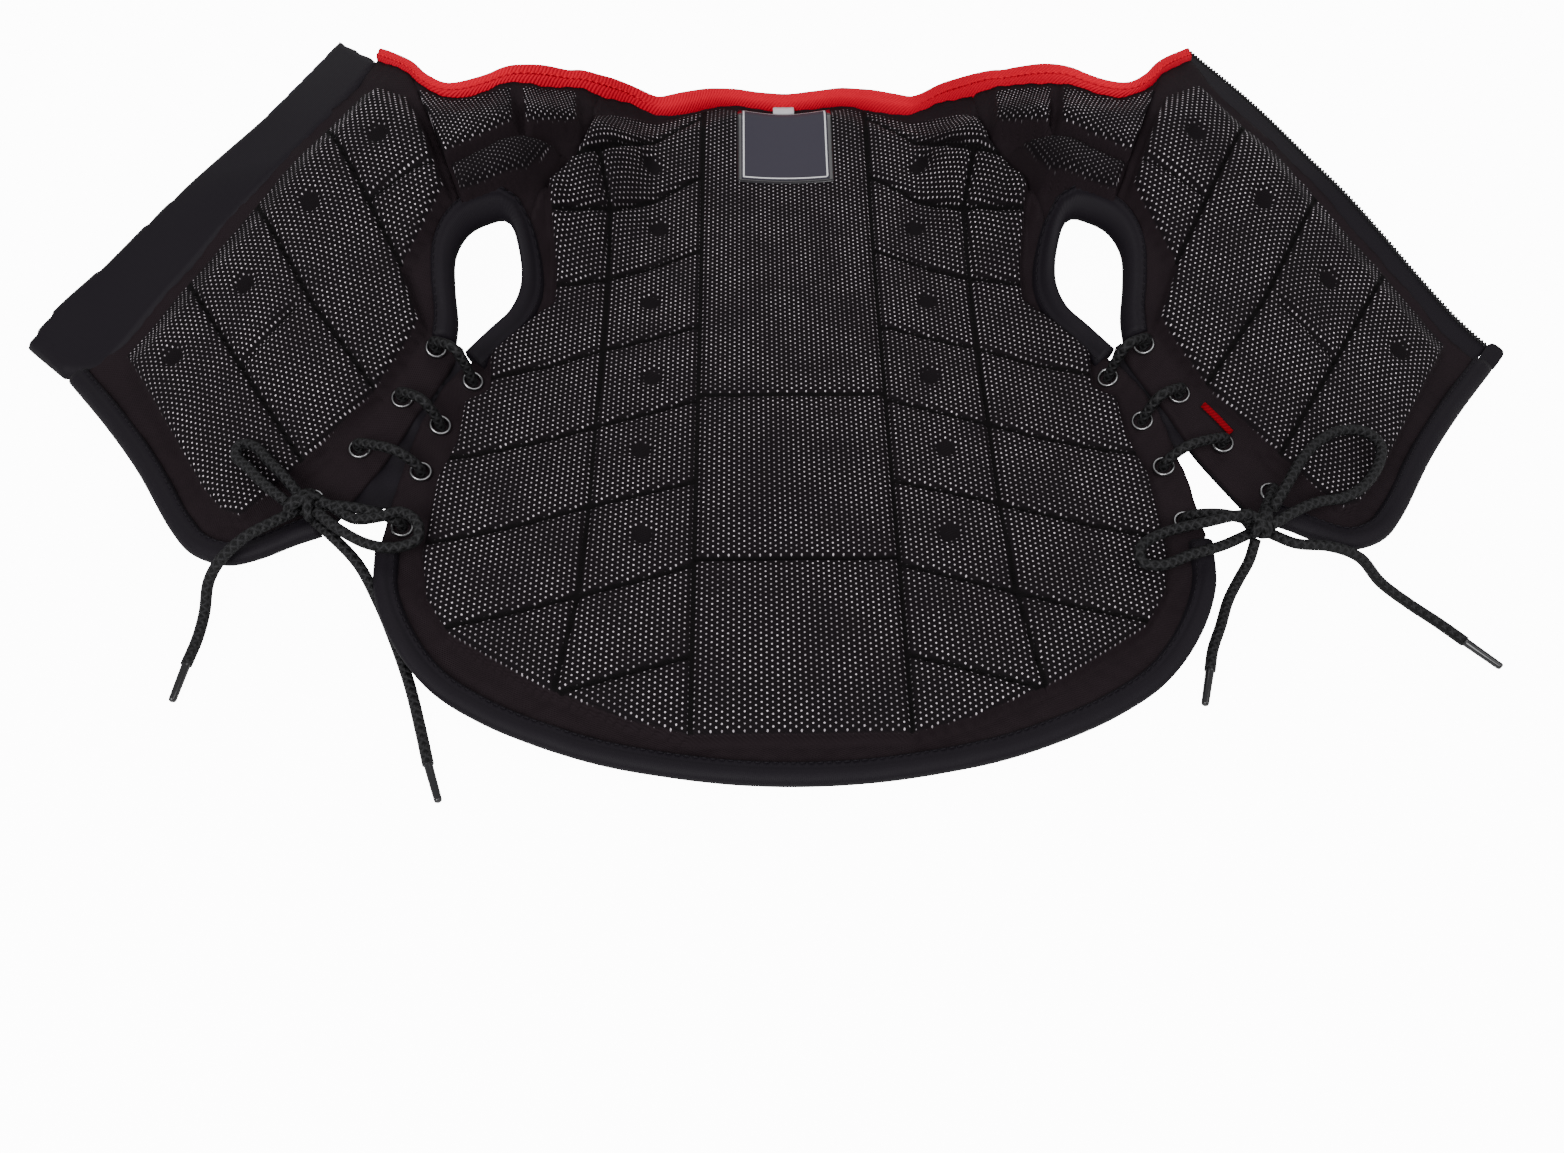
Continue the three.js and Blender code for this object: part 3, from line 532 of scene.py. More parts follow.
def tube_faces(rings: int, sides: int) -> list[tuple[int, ...]]:
    """Faces of a tube of rings, with its end caps."""
    faces: list[tuple[int, ...]] = []
    for i in range(rings - 1):
        for k in range(sides):
            a, b = i * sides + k, i * sides + (k + 1) % sides
            faces.append((a, b, b + sides, a + sides))
    last = (rings - 1) * sides
    faces.append(tuple(range(sides))[::-1])
    faces.append(tuple(range(last, last + sides)))
    return faces


class Effects:
    """Shader node groups that more than one finish uses, each made once."""

    @staticmethod
    def start(name: str, numbers: dict[str, float], outputs: tuple[str, str]) -> tuple:
        """Begins a node group that reads cloth coordinates.

        Args:
            name: The group's name.
            numbers: Its number sockets with their default values.
            outputs: Names of the number sockets that it puts out.

        Returns:
            The group, a helper that wires nodes in it, and the sockets it takes in and puts out.
        """
        group = bpy.data.node_groups.new(name, "ShaderNodeTree")
        group.interface.new_socket("Cloth", in_out="INPUT", socket_type="NodeSocketVector")
        for label, value in numbers.items():
            socket = group.interface.new_socket(label, in_out="INPUT", socket_type="NodeSocketFloat")
            socket.default_value = value
        for label in outputs:
            group.interface.new_socket(label, in_out="OUTPUT", socket_type="NodeSocketFloat")
        wires = Wires(group)
        return group, wires, wires.node("NodeGroupInput").outputs, wires.node("NodeGroupOutput").inputs

    @staticmethod
    @cache
    def lattice() -> bpy.types.NodeTree:
        """Dots of a warp knit mesh in a lattice of staggered columns."""
        numbers = {"Across": 5.6, "Along": 3.3}
        group, w, inner, outer = Effects.start("Mesh lattice", numbers, ("Dots", "Glint"))
        x, y, _ = w.split(inner["Cloth"])
        u, v = w.maths("DIVIDE", x, inner["Across"]), w.maths("DIVIDE", y, inner["Along"])
        near = []
        for offset in (0.0, 0.5):
            fu, fv = (w.maths("SUBTRACT", w.maths("FRACT", w.maths("ADD", c, offset)), 0.5) for c in (u, v))
            squares = (w.maths("POWER", w.maths("MULTIPLY", fu, 1.7), 2), w.maths("POWER", fv, 2))
            near.append(w.maths("SQRT", w.maths("ADD", *squares)))
        w.link(w.ramp(w.maths("MINIMUM", *near), 0.19, 0.08), outer["Dots"])
        # Glint: random brightness for each dot as painted glints, dimmed in wide noise patches as painted
        # pillow shade
        single = w.ramp(w.noise(inner["Cloth"], Scale=0.35, Detail=2.0), 0.35, 0.65)
        wide = w.ramp(w.noise(inner["Cloth"], Scale=0.03, Detail=1.0), 0.3, 0.68)
        share = w.maths("MULTIPLY_ADD", wide, 0.65, 0.35)
        w.link(w.maths("MULTIPLY", w.maths("MULTIPLY_ADD", single, 0.7, 0.3), share), outer["Glint"])
        return group

    @staticmethod
    @cache
    def weave() -> bpy.types.NodeTree:
        """Slanting ribs of a twill or knit."""
        group, w, inner, outer = Effects.start("Weave", {"Pitch": 1.4, "Slant": 1.0}, ("Ribs", "Fuzz"))
        x, y, _ = w.split(inner["Cloth"])
        slanted = w.maths("ADD", y, w.maths("MULTIPLY", x, inner["Slant"]))
        turns = w.maths("MULTIPLY", w.maths("DIVIDE", slanted, inner["Pitch"]), 2 * math.pi)
        w.link(w.maths("MULTIPLY_ADD", w.maths("SINE", turns), 0.5, 0.5), outer["Ribs"])
        w.link(w.noise(inner["Cloth"], Scale=0.9, Detail=4.0, Roughness=0.7), outer["Fuzz"])
        return group

    @staticmethod
    @cache
    def braid() -> bpy.types.NodeTree:
        """Crossing strands of a round braid, from turns around it and millimetres along it."""
        group, w, inner, outer = Effects.start("Braid", {"Strands": 6.0, "Pitch": 3.2}, ("Height", "Strand"))
        x, y, _ = w.split(inner["Cloth"])
        around, along = w.maths("MULTIPLY", x, inner["Strands"]), w.maths("DIVIDE", y, inner["Pitch"])
        turns = [w.maths("MULTIPLY", w.maths(way, around, along), 2 * math.pi) for way in ("ADD", "SUBTRACT")]
        waves = [w.maths("SINE", turn) for turn in turns]
        w.link(w.maths("MULTIPLY_ADD", w.maths("MAXIMUM", *waves), 0.5, 0.5), outer["Height"])
        w.link(w.maths("MULTIPLY_ADD", waves[0], 0.5, 0.5), outer["Strand"])
        return group


@dataclass
class Wires:
    """Adds and links nodes in one tree; the numbers are the places of a Mix node's colour sockets."""

    tree: bpy.types.NodeTree
    color_a: int = 6
    color_b: int = 7
    color_out: int = 2

    def node(self, kind: str, values: dict | None = None) -> bpy.types.Node:
        """A new node with values for its named sockets."""
        made = self.tree.nodes.new(kind)
        for name, value in (values or {}).items():
            made.inputs[name].default_value = value
        return made

    def link(self, source: bpy.types.NodeSocket, target: bpy.types.NodeSocket) -> None:
        """Joins two sockets."""
        self.tree.links.new(source, target)

    def feed(self, value: bpy.types.NodeSocket | float | tuple, target: bpy.types.NodeSocket) -> None:
        """Links a socket, or sets a plain value."""
        if isinstance(value, bpy.types.NodeSocket):
            self.link(value, target)
        else:
            target.default_value = value

    def maths(self, operation: str, *values: bpy.types.NodeSocket | float) -> bpy.types.NodeSocket:
        """The result of a Math node."""
        made = self.tree.nodes.new("ShaderNodeMath")
        made.operation = operation
        for value, target in zip(values, made.inputs):
            self.feed(value, target)
        return made.outputs[0]

    def ramp(self, value: bpy.types.NodeSocket, low: float, high: float) -> bpy.types.NodeSocket:
        """Smooth step from 0 at low to 1 at high."""
        made = self.tree.nodes.new("ShaderNodeMapRange")
        made.interpolation_type = "SMOOTHSTEP"
        made.inputs["From Min"].default_value = low
        made.inputs["From Max"].default_value = high
        self.link(value, made.inputs["Value"])
        return made.outputs["Result"]

    def split(self, value: bpy.types.NodeSocket) -> tuple:
        """The three numbers of a vector."""
        made = self.tree.nodes.new("ShaderNodeSeparateXYZ")
        self.link(value, made.inputs[0])
        return tuple(made.outputs)

    def mixed(self, share: bpy.types.NodeSocket, first: object, second: object) -> bpy.types.NodeSocket:
        """Two colours mixed by a share."""
        made = self.tree.nodes.new("ShaderNodeMix")
        made.data_type = "RGBA"
        self.link(share, made.inputs["Factor"])
        self.feed(first, made.inputs[self.color_a])
        self.feed(second, made.inputs[self.color_b])
        return made.outputs[self.color_out]

    def noise(self, place: bpy.types.NodeSocket, **values: float) -> bpy.types.NodeSocket:
        """Noise at a place."""
        made = self.node("ShaderNodeTexNoise", values)
        self.link(place, made.inputs["Vector"])
        return made.outputs["Fac"]

    def attribute(self, name: str) -> bpy.types.NodeSocket:
        """The vector of a mesh attribute."""
        made = self.tree.nodes.new("ShaderNodeAttribute")
        made.attribute_name = name
        return made.outputs["Vector"]

    def effect(self, group: bpy.types.NodeTree, values: dict) -> bpy.types.NodeOutputs:
        """Places a shared effect with its own values and gives its outputs."""
        made = self.tree.nodes.new("ShaderNodeGroup")
        made.node_tree = group
        for name, value in values.items():
            self.feed(value, made.inputs[name])
        return made.outputs

    def bump(self, relief: bpy.types.NodeSocket, distance: float, strength: float) -> bpy.types.NodeSocket:
        """Normal bent by a relief."""
        made = self.node("ShaderNodeBump", {"Distance": distance, "Strength": strength})
        self.link(relief, made.inputs["Height"])
        return made.outputs["Normal"]


def rgb(red: float, green: float, blue: float) -> tuple[float, float, float, float]:
    """An opaque colour."""
    return (red, green, blue, 1.0)


@dataclass(frozen=True)
class Finish:
    """A finish and its plain shader values."""

    name: str
    color: tuple
    roughness: float = 0.8
    metallic: float = 0.0
    sheen: float = 0.0
    coat: float = 0.0
    specular: float = 0.12

    def material(self) -> bpy.types.Material:
        """The finish's material, made once."""
        found = bpy.data.materials.get(self.name)
        if found:
            return found
        made = bpy.data.materials.new(self.name)
        made.use_nodes = True
        shader = made.node_tree.nodes["Principled BSDF"]
        for socket, value in (
            ("Base Color", self.color), ("Roughness", self.roughness), ("Metallic", self.metallic),
            ("Sheen Weight", self.sheen), ("Sheen Roughness", 0.5), ("Coat Weight", self.coat),
            ("Specular IOR Level", self.specular),
        ):
            shader.inputs[socket].default_value = value
        self.dress(Wires(made.node_tree), shader)
        return made

    def dress(self, wires: Wires, shader: bpy.types.Node) -> None:
        """Adds what varies over the surface."""
        fine = wires.noise(wires.node("ShaderNodeTexCoord").outputs["Object"], Scale=900.0, Detail=3.0)
        wires.link(wires.bump(fine, 0.0001, 0.3), shader.inputs["Normal"])
        wires.link(wires.mixed(fine, self.darker(0.7), self.color), shader.inputs["Base Color"])

    def darker(self, share: float) -> tuple:
        """The colour at a share of its brightness."""
        return (*(share * c for c in self.color[:3]), 1.0)


@dataclass(frozen=True)
class MeshLining(Finish):
    """Knitted mesh over foam, with a plain knit border outside the padded field."""

    dot: tuple = rgb(0.97, 0.88, 0.95)
    hole: tuple = rgb(0.0025, 0.0018, 0.0022)
    plain: tuple = rgb(0.0168, 0.0106, 0.0134)

    def dress(self, wires: Wires, shader: bpy.types.Node) -> None:
        """Draws the lattice inside the field, and knit, sewn lines and spots around it; the spot distance
        also dims the dots of tiles in painted shade.
        """
        cloth = wires.attribute("grain")
        border, seam, spot_and_shade = wires.split(wires.attribute("edge"))
        dots = wires.effect(Effects.lattice(), {"Cloth": cloth, "Across": 5.6, "Along": 3.3})
        knit = wires.effect(Effects.weave(), {"Cloth": cloth, "Pitch": 1.1, "Slant": 0.4})
        field_mask = wires.ramp(border, 1.2, 2.2)
        sewn = wires.ramp(seam, 1.0, 1.9)
        # Spots clear the dots; the stand-in spot distance of tiles in painted shade dims them
        clear = wires.maths("MULTIPLY", sewn, wires.ramp(spot_and_shade, 4.6, 6.8))
        shown = wires.maths("MULTIPLY", field_mask, clear)
        glint = wires.maths("MULTIPLY_ADD", dots["Glint"], 0.9, 0.1)
        bright = wires.maths("MULTIPLY", wires.maths("MULTIPLY", dots["Dots"], glint), shown)
        ground = wires.mixed(field_mask, self.plain, self.color)
        outside = wires.maths("SUBTRACT", 1.0, field_mask)
        ground = wires.mixed(wires.maths("MAXIMUM", sewn, outside), self.hole, ground)
        ground = wires.mixed(wires.maths("MULTIPLY", knit["Fuzz"], 0.35), ground, self.hole)
        wires.link(wires.mixed(bright, ground, self.dot), shader.inputs["Base Color"])
        bumps = wires.maths("MULTIPLY_ADD", wires.maths("MULTIPLY", dots["Dots"], shown), 0.8, knit["Ribs"])
        wires.link(wires.bump(bumps, 0.0004, 0.5), shader.inputs["Normal"])


@dataclass(frozen=True)
class RibbedCloth(Finish):
    """Twill or knit with slanting ribs."""

    pitch: float = 1.4
    slant: float = 1.0
    depth: float = 0.0003
    shade: float = 0.7

    def dress(self, wires: Wires, shader: bpy.types.Node) -> None:
        """Ribs in relief, with the rib valleys darkened in colour as painted shade, and random fuzz."""
        ribs = wires.effect(
            Effects.weave(), {"Cloth": wires.attribute("grain"), "Pitch": self.pitch, "Slant": self.slant}
        )
        # Painted shade: the colour darkens in the rib valleys; the fuzz varies it at random
        fuzz_and_rib_shade = wires.maths("MULTIPLY_ADD", ribs["Fuzz"], 0.5, wires.maths("MULTIPLY", ribs["Ribs"], 0.5))
        wires.link(wires.mixed(fuzz_and_rib_shade, self.darker(self.shade), self.color), shader.inputs["Base Color"])
        wires.link(wires.bump(ribs["Ribs"], self.depth, 0.6), shader.inputs["Normal"])


@dataclass(frozen=True)
class BraidedLace(Finish):
    """Round braid of fine strands."""

    def dress(self, wires: Wires, shader: bpy.types.Node) -> None:
        """Crossing strands in relief, with the low parts between them darkened as painted shade."""
        cloth = wires.attribute("grain")
        braid = wires.effect(Effects.braid(), {"Cloth": cloth, "Strands": 4.0, "Pitch": 4.4})
        # Painted shade: the colour darkens to near black where the braid is low
        wires.link(wires.mixed(braid["Height"], self.darker(0.08), self.color), shader.inputs["Base Color"])
        wires.link(wires.bump(braid["Height"], 0.0009, 0.9), shader.inputs["Normal"])


@dataclass(frozen=True)
class FramedPatch(Finish):
    """Label cloth with a thin light frame near its edge."""

    frame: tuple = rgb(0.8, 0.8, 0.82)

    def dress(self, wires: Wires, shader: bpy.types.Node) -> None:
        """Draws the frame from the distance to the patch's edge."""
        inset, _, _ = wires.split(wires.attribute("edge"))
        line = wires.maths("MULTIPLY", wires.ramp(inset, 0.7, 1.0), wires.ramp(inset, 2.0, 1.7))
        knit = wires.effect(Effects.weave(), {"Cloth": wires.attribute("grain"), "Pitch": 0.8, "Slant": 0.0})
        ground = wires.mixed(wires.maths("MULTIPLY", knit["Fuzz"], 0.3), self.color, rgb(0.03, 0.028, 0.035))
        wires.link(wires.mixed(line, ground, self.frame), shader.inputs["Base Color"])
        wires.link(wires.bump(knit["Ribs"], 0.0001, 0.4), shader.inputs["Normal"])


LINING = MeshLining("mesh lining", rgb(0.0068, 0.0046, 0.0062), roughness=0.8)
COVER = RibbedCloth("cover cloth", rgb(0.008, 0.0075, 0.009), roughness=0.7, pitch=1.0, slant=0.0)
BORDER = RibbedCloth(
    "soft knit", rgb(0.0086, 0.0062, 0.0102), roughness=0.6, sheen=0.012, specular=0.17, pitch=0.9, slant=0.2,
    depth=0.0001,
)
RED_TAPE = RibbedCloth("red twill", rgb(0.9, 0.001, 0.03), roughness=0.8, pitch=2.3, depth=0.0006, shade=0.66)
DARK_RED = RibbedCloth("dark red trim", rgb(0.3, 0.0, 0.008), roughness=0.8, pitch=1.9, shade=0.4)
LACE_BRAID = BraidedLace("lace braid", rgb(0.0135, 0.0133, 0.0148), roughness=0.6, specular=0.25)
NICKEL = Finish("nickel ring", rgb(0.42, 0.42, 0.43), roughness=0.28, metallic=1.0)
AGLET_PLASTIC = Finish("aglet plastic", rgb(0.012, 0.012, 0.014), roughness=0.25, coat=0.3, specular=0.5)
ZIP_PLASTIC = Finish("zip teeth", rgb(0.012, 0.012, 0.013), roughness=0.35, specular=0.4)
PATCH = FramedPatch("label patch", rgb(0.048, 0.044, 0.062), roughness=0.6)
FILM = Finish("label film", rgb(0.02, 0.018, 0.022), roughness=0.2, coat=0.4, specular=0.4)
WHITE_TAB = RibbedCloth("white tab", rgb(0.75, 0.75, 0.78), roughness=0.8, pitch=0.8, shade=0.85)


@dataclass
class Panel:
    """A sheet laid on the relief inside one or more plan outlines."""

    regions: list[np.ndarray]
    cell: float
    angle: float = 0.0

    def grid(self) -> tuple[np.ndarray, list, np.ndarray, np.ndarray]:
        """Fills the outlines with square cells turned to the grain.

        Returns:
            Plan points, faces, coordinates across and along the grain, and the border edges.
        """
        c, s = math.cos(self.angle), math.sin(self.angle)
        turn = np.array([[c, -s], [s, c]])
        local = [region @ turn for region in self.regions]
        low = np.max([r.min(0) for r in local], 0) - self.cell
        high = np.min([r.max(0) for r in local], 0) + self.cell
        nx, ny = (np.ceil((high - low) / self.cell)).astype(int)
        xs, ys = low[0] + self.cell * np.arange(nx + 1), low[1] + self.cell * np.arange(ny + 1)
        gx, gy = np.meshgrid(xs, ys)
        cx, cy = np.meshgrid(xs[:-1] + self.cell / 2, ys[:-1] + self.cell / 2)
        centres = np.column_stack([cx.ravel(), cy.ravel()]) @ turn.T
        kept = np.ones(len(centres), bool)
        for region in self.regions:
            kept &= inside(region, centres)
        cells = np.flatnonzero(kept)
        a = cells // nx * (nx + 1) + cells % nx
        quads = np.column_stack([a, a + 1, a + nx + 2, a + nx + 1])
        used, quads = np.unique(quads, return_inverse=True)
        quads = quads.reshape(-1, 4)
        nodes = np.column_stack([gx.ravel(), gy.ravel()])
        grain = self.unrolled(lift(nodes @ turn.T, 0.0)[:, 2].reshape(gx.shape), xs, ys)[used]
        plan = nodes[used] @ turn.T
        edges = np.vstack([quads[:, [k, (k + 1) % 4]] for k in range(4)])
        code = edges[:, 0].astype(np.int64) * (len(plan) + 1) + edges[:, 1]
        back = edges[:, 1].astype(np.int64) * (len(plan) + 1) + edges[:, 0]
        rim = edges[~np.isin(code, back)]
        on_rim = np.unique(rim)
        _, place = nearest([closed(r) for r in self.regions], plan[on_rim])
        best = np.full(len(on_rim), 1e9)
        for i, region in enumerate(self.regions):
            gap, foot = nearest([closed(region)], plan[on_rim])
            for other in self.regions[:i] + self.regions[i + 1:]:
                gap[~inside(other, foot)] = 1e9
            place[gap < best] = foot[gap < best]
            best = np.minimum(best, gap)
        move = place - plan[on_rim]
        far = np.hypot(*move.T) > 1.5 * self.cell
        move[far] = 0
        plan[on_rim] += move
        grain[on_rim] += move @ turn
        return plan, quads.tolist(), grain, rim

    def unrolled(self, z: np.ndarray, xs: np.ndarray, ys: np.ndarray) -> np.ndarray:
        """Lengths along the cloth from the grain's zero lines to each node of a grid of heights."""
        lengths = []
        for axis, stations in ((1, xs), (0, ys)):
            steps = np.hypot(self.cell, np.diff(z, axis=axis))
            run = np.insert(np.cumsum(steps, axis=axis), 0, 0, axis=axis)
            start = int(np.argmin(np.abs(stations)))
            lengths.append((run - np.take(run, [start], axis=axis) + stations[start]).ravel())
        return np.column_stack(lengths)

    def slab(self, low: float, high: float) -> Parts:
        """A closed sheet of even thickness."""
        plan, faces, grain, rim = self.grid()
        return closed_sheet(plan, faces, grain, rim, high, low)


def closed_sheet(
    plan: np.ndarray, faces: list, grain: np.ndarray, rim: np.ndarray, high: np.ndarray | float,
    low: np.ndarray | float,
) -> Parts:
    """Closes a panel's grid between two offsets.

    Args:
        plan: The grid's plan points.
        faces: Its faces.
        grain: Its cloth coordinates.
        rim: Its border edges.
        high: Offset of the upper side.
        low: Offset of the lower side.

    Returns:
        The sheet's faces.
    """
    count = len(plan)
    under = [tuple(i + count for i in reversed(f)) for f in faces]
    walls = [(b, a, a + count, b + count) for a, b in rim.tolist()]
    parts = Parts()
    points = np.vstack([lift(plan, high), lift(plan, low)])
    parts.add(points, [*map(tuple, faces), *under, *walls], np.vstack([grain, grain]))
    return parts


def skirted_sheet(
    plan: np.ndarray, faces: list, grain: np.ndarray, rim: np.ndarray, high: np.ndarray,
    foot: np.ndarray | float, edge: np.ndarray,
) -> Parts:
    """Gives a panel's grid a wall all around, open below.

    Args:
        plan: The grid's plan points.
        faces: Its faces.
        grain: Its cloth coordinates.
        rim: Its border edges.
        high: Offset of the sheet.
        foot: Offset of the wall's foot.
        edge: Distances to the border, the seams and the spots; on tiles in painted shade the last is a
            stand-in that dims the dots.

    Returns:
        The sheet's faces.
    """
    ring = np.unique(rim)
    number = {int(old): len(plan) + k for k, old in enumerate(ring)}
    walls = [(b, a, number[a], number[b]) for a, b in rim.tolist()]
    points = np.vstack([lift(plan, high), lift(plan[ring], np.broadcast_to(foot, len(plan))[ring])])
    parts = Parts()
    parts.add(
        points, [*map(tuple, faces), *walls], np.vstack([grain, grain[ring]]), np.vstack([edge, edge[ring]])
    )
    return parts


def slimness(taper: np.ndarray) -> np.ndarray:
    """Share of the padding's thickness that is left at a distance from a finished edge."""
    t = np.clip(taper / TAPER_RUN, 0, 1)
    return EDGE_SHARE + (1 - EDGE_SHARE) * t * t * (3 - 2 * t)


@dataclass
class PaddedPanel(Panel):
    """Mesh lining over foam tiles, sewn down along its seams."""

    name: str = ""
    stands_for: str = ""
    fields: list[np.ndarray] = field(default_factory=list)
    seams: list[np.ndarray] = field(default_factory=list)
    sub_seams: list[np.ndarray] = field(default_factory=list)
    spots: np.ndarray | tuple = ()
    rims: list[tuple[np.ndarray, float]] = field(default_factory=list)
    # Tiles in painted shade: their dots are dimmed through a stand-in spot distance
    shaded: list[np.ndarray] = field(default_factory=list)
    edge_radius: float = 5.5
    seam_radius: float = 4.5
    crown: float = 1.1
    groove: float = 3.0
    dimple: float = 3.2
    knit_scale: float = 1.0

    def build(self) -> bpy.types.Object:
        """Makes the padded lining.

        Returns:
            The lining as one object.
        """
        plan, faces, grain, rim = self.grid()
        in_field = np.zeros(len(plan), bool)
        for outline in self.fields:
            in_field |= inside(outline, plan)
        border, _ = nearest([closed(f) for f in self.fields], plan)
        taper = np.full(len(plan), FAR)
        for line, margin in self.rims:
            gap, _ = nearest([line], plan)
            in_field &= gap > margin
            border = np.minimum(border, np.abs(gap - margin))
            taper = np.minimum(taper, gap - margin)
        none = np.full(len(plan), FAR)
        seam, minor = (nearest(lines, plan)[0] if lines else none for lines in (self.seams, self.sub_seams))
        spot_and_shade = np.min([none, *(np.hypot(*(plan - p).T) for p in self.spots)], 0)
        depth = np.where(in_field, np.minimum(border, seam), 0)
        near = 1 - np.minimum(np.where(in_field, border, 0) / self.edge_radius, 1)
        sewn = 1 - np.minimum(seam / self.seam_radius, 1)
        rise = np.minimum(np.sqrt(1 - near**2.4), 0.42 + 0.58 * np.sqrt(1 - sewn**2.2))
        puff = self.crown * (1 - np.exp(-depth / 22))
        offset = LINING_TOP + ((PADDING - LINING_TOP) * rise + puff) * slimness(taper)
        offset -= self.groove * np.exp(-((minor / 2.2) ** 2)) * rise
        offset -= self.dimple * np.exp(-((spot_and_shade / 6.5) ** 4)) * rise
        offset += self.puckers(plan, depth, in_field)
        # Painted shade: the dots of these tiles are dimmed through a stand-in spot distance
        for outline in self.shaded:
            spot_and_shade[inside(outline, plan)] = SHADE_DIM_SPOT
        signed = np.where(in_field, border, -border)
        edge = np.column_stack([signed, np.minimum(seam, minor + 0.6), spot_and_shade])
        parts = skirted_sheet(plan, faces, grain * self.knit_scale, rim, offset, SHELL_WALL, edge)
        thing = parts.to_object(self.name, LINING, self.stands_for)
        return thing

    def puckers(self, plan: np.ndarray, depth: np.ndarray, in_field: np.ndarray) -> np.ndarray:
        """Small waves: gathers beside the sewn lines and a slack border."""
        x, y = plan.T
        gathers = np.sin(x / 2.3 + 1.3 * np.sin(y / 5)) * np.sin(y / 2.6 + 1.1 * np.sin(x / 7))
        slack = np.sin(x / 9 + 2 * np.sin(y / 23)) * np.sin(y / 11 + np.sin(x / 17))
        inner = 0.35 * gathers * np.exp(-depth / 4) + 0.25 * slack
        outer = 0.8 * slack + 0.45 * gathers
        return np.where(in_field, inner, outer)


@dataclass
class Binding:
    """Soft tape folded over an edge."""

    name: str
    line: np.ndarray
    width: float
    height: float
    finish: Finish
    low: float = 0.0
    inset: float = 0.0
    sides: int = 24
    stitched: bool = True
    crease: float = 1.3
    pinch: float = 0.0
    seam_share: float = 0.86
    step: float = 3.0

    def build(self, stands_for: str) -> bpy.types.Object:
        """Makes the tape with its stitches; `pinch` narrows it away from the vest's middle."""
        line = resampled(self.line, self.step)
        off_centre = np.clip((np.abs(line[:, 0]) / HALF_LENGTH - PINCH_START) / PINCH_RUN, 0, 1)[:, None]
        narrow = 1 - self.pinch * off_centre * off_centre * (3 - 2 * off_centre)
        width, height = self.width * narrow, self.height * (0.4 + 0.6 * narrow)
        offsets = mitres(line)
        angle = np.linspace(0, 2 * math.pi, self.sides, endpoint=False)
        run = np.arange(len(line)) * self.step
        swell = 1 + 0.035 * np.sin(run / 9 + 2 * np.sin(run / 31)) + 0.02 * np.sin(run / 3.7)
        inset = self.inset - 2.6 * (1 - narrow)
        away = inset + width / 2 * (1 - np.cos(angle)[None, :])
        flat = np.sign(np.sin(angle)) * np.abs(np.sin(angle)) ** 0.8
        above = self.low + height / 2 * (1 + flat[None, :] * swell[:, None])
        crease = np.exp(-(((away - inset - 0.7 * width) / 1.1) ** 2)) * (np.sin(angle) > 0)
        above = above - self.crease * crease
        plan = line[:, None] + away[:, :, None] * offsets[:, None]
        points = lift(plan.reshape(-1, 2), above.ravel())
        girth = math.pi * (self.width + self.height) / 2
        around = np.broadcast_to(angle / (2 * math.pi) * girth, (len(line), self.sides))
        grain = np.stack([around, np.broadcast_to(run[:, None], around.shape)], -1).reshape(-1, 2)
        faces = [tuple(reversed(f)) for f in tube_faces(len(line), self.sides)]
        parts = Parts()
        parts.add(points, faces, grain)
        if self.stitched:
            share = self.seam_share
            self.sew(parts, line + (inset + share * width) * offsets, share * float(height.min()))
        return parts.to_object(self.name, self.finish, stands_for)

    def sew(self, parts: Parts, line: np.ndarray, level: float) -> None:
        """Adds a row of stitches along the tape's inner edge, at a level above its foot."""
        stitches = resampled(line, 4.2)
        arch = self.low + level + np.array([-0.3, 0.25, 0.25, -0.3])
        for start, end in zip(stitches[:-1], stitches[1:]):
            gap = 0.12 * (end - start)
            parts.add(*tube(lift(np.linspace(start + gap, end - gap, 4), arch), 0.9, 6))


@dataclass
class Eyelet:
    """Rolled metal ring with its barrel."""

    name: str
    place: np.ndarray
    bore: float = 8.4
    flange: float = 12.0
    rim: float = 1.6
    turns: int = 40

    def build(self, stands_for: str) -> bpy.types.Object:
        """Turns the ring's profile about the surface's normal."""
        bore, flange = self.bore / 2, self.flange / 2
        middle, half = (bore + flange) / 2, (flange - bore) / 2
        roll = np.linspace(0, math.pi, 9)
        profile = [(flange - 0.1, -0.5)]
        profile += [(middle + half * math.cos(t), 0.3 + self.rim * math.sin(t)) for t in roll]
        profile += [(bore, -4.0), (bore + 0.6, -4.0), (bore + 0.7, -0.5)]
        turns = self.turns
        angle = np.linspace(0, 2 * math.pi, turns, endpoint=False)
        circle = np.column_stack([np.cos(angle), np.sin(angle)])
        local = np.vstack([np.column_stack([r * circle, np.full(turns, z)]) for r, z in profile])
        around = lift(self.place + np.array([[2, 0], [-2, 0], [0, 2], [0, -2], [0, 0]]), ON_LINING)
        normal = np.cross(around[0] - around[1], around[2] - around[3])
        normal /= np.linalg.norm(normal)
        right = np.cross([0.0, 1.0, 0.0], normal)
        right /= np.linalg.norm(right)
        axes = np.array([right, np.cross(normal, right), normal])
        points = around[4] + local @ axes
        count = len(profile)
        faces = []
        for i in range(count):
            j = (i + 1) % count
            for k in range(turns):
                m = (k + 1) % turns
                faces.append((i * turns + k, i * turns + m, j * turns + m, j * turns + k))
        parts = Parts()
        parts.add(points, faces, local[:, :2])
        return parts.to_object(self.name, NICKEL, stands_for)


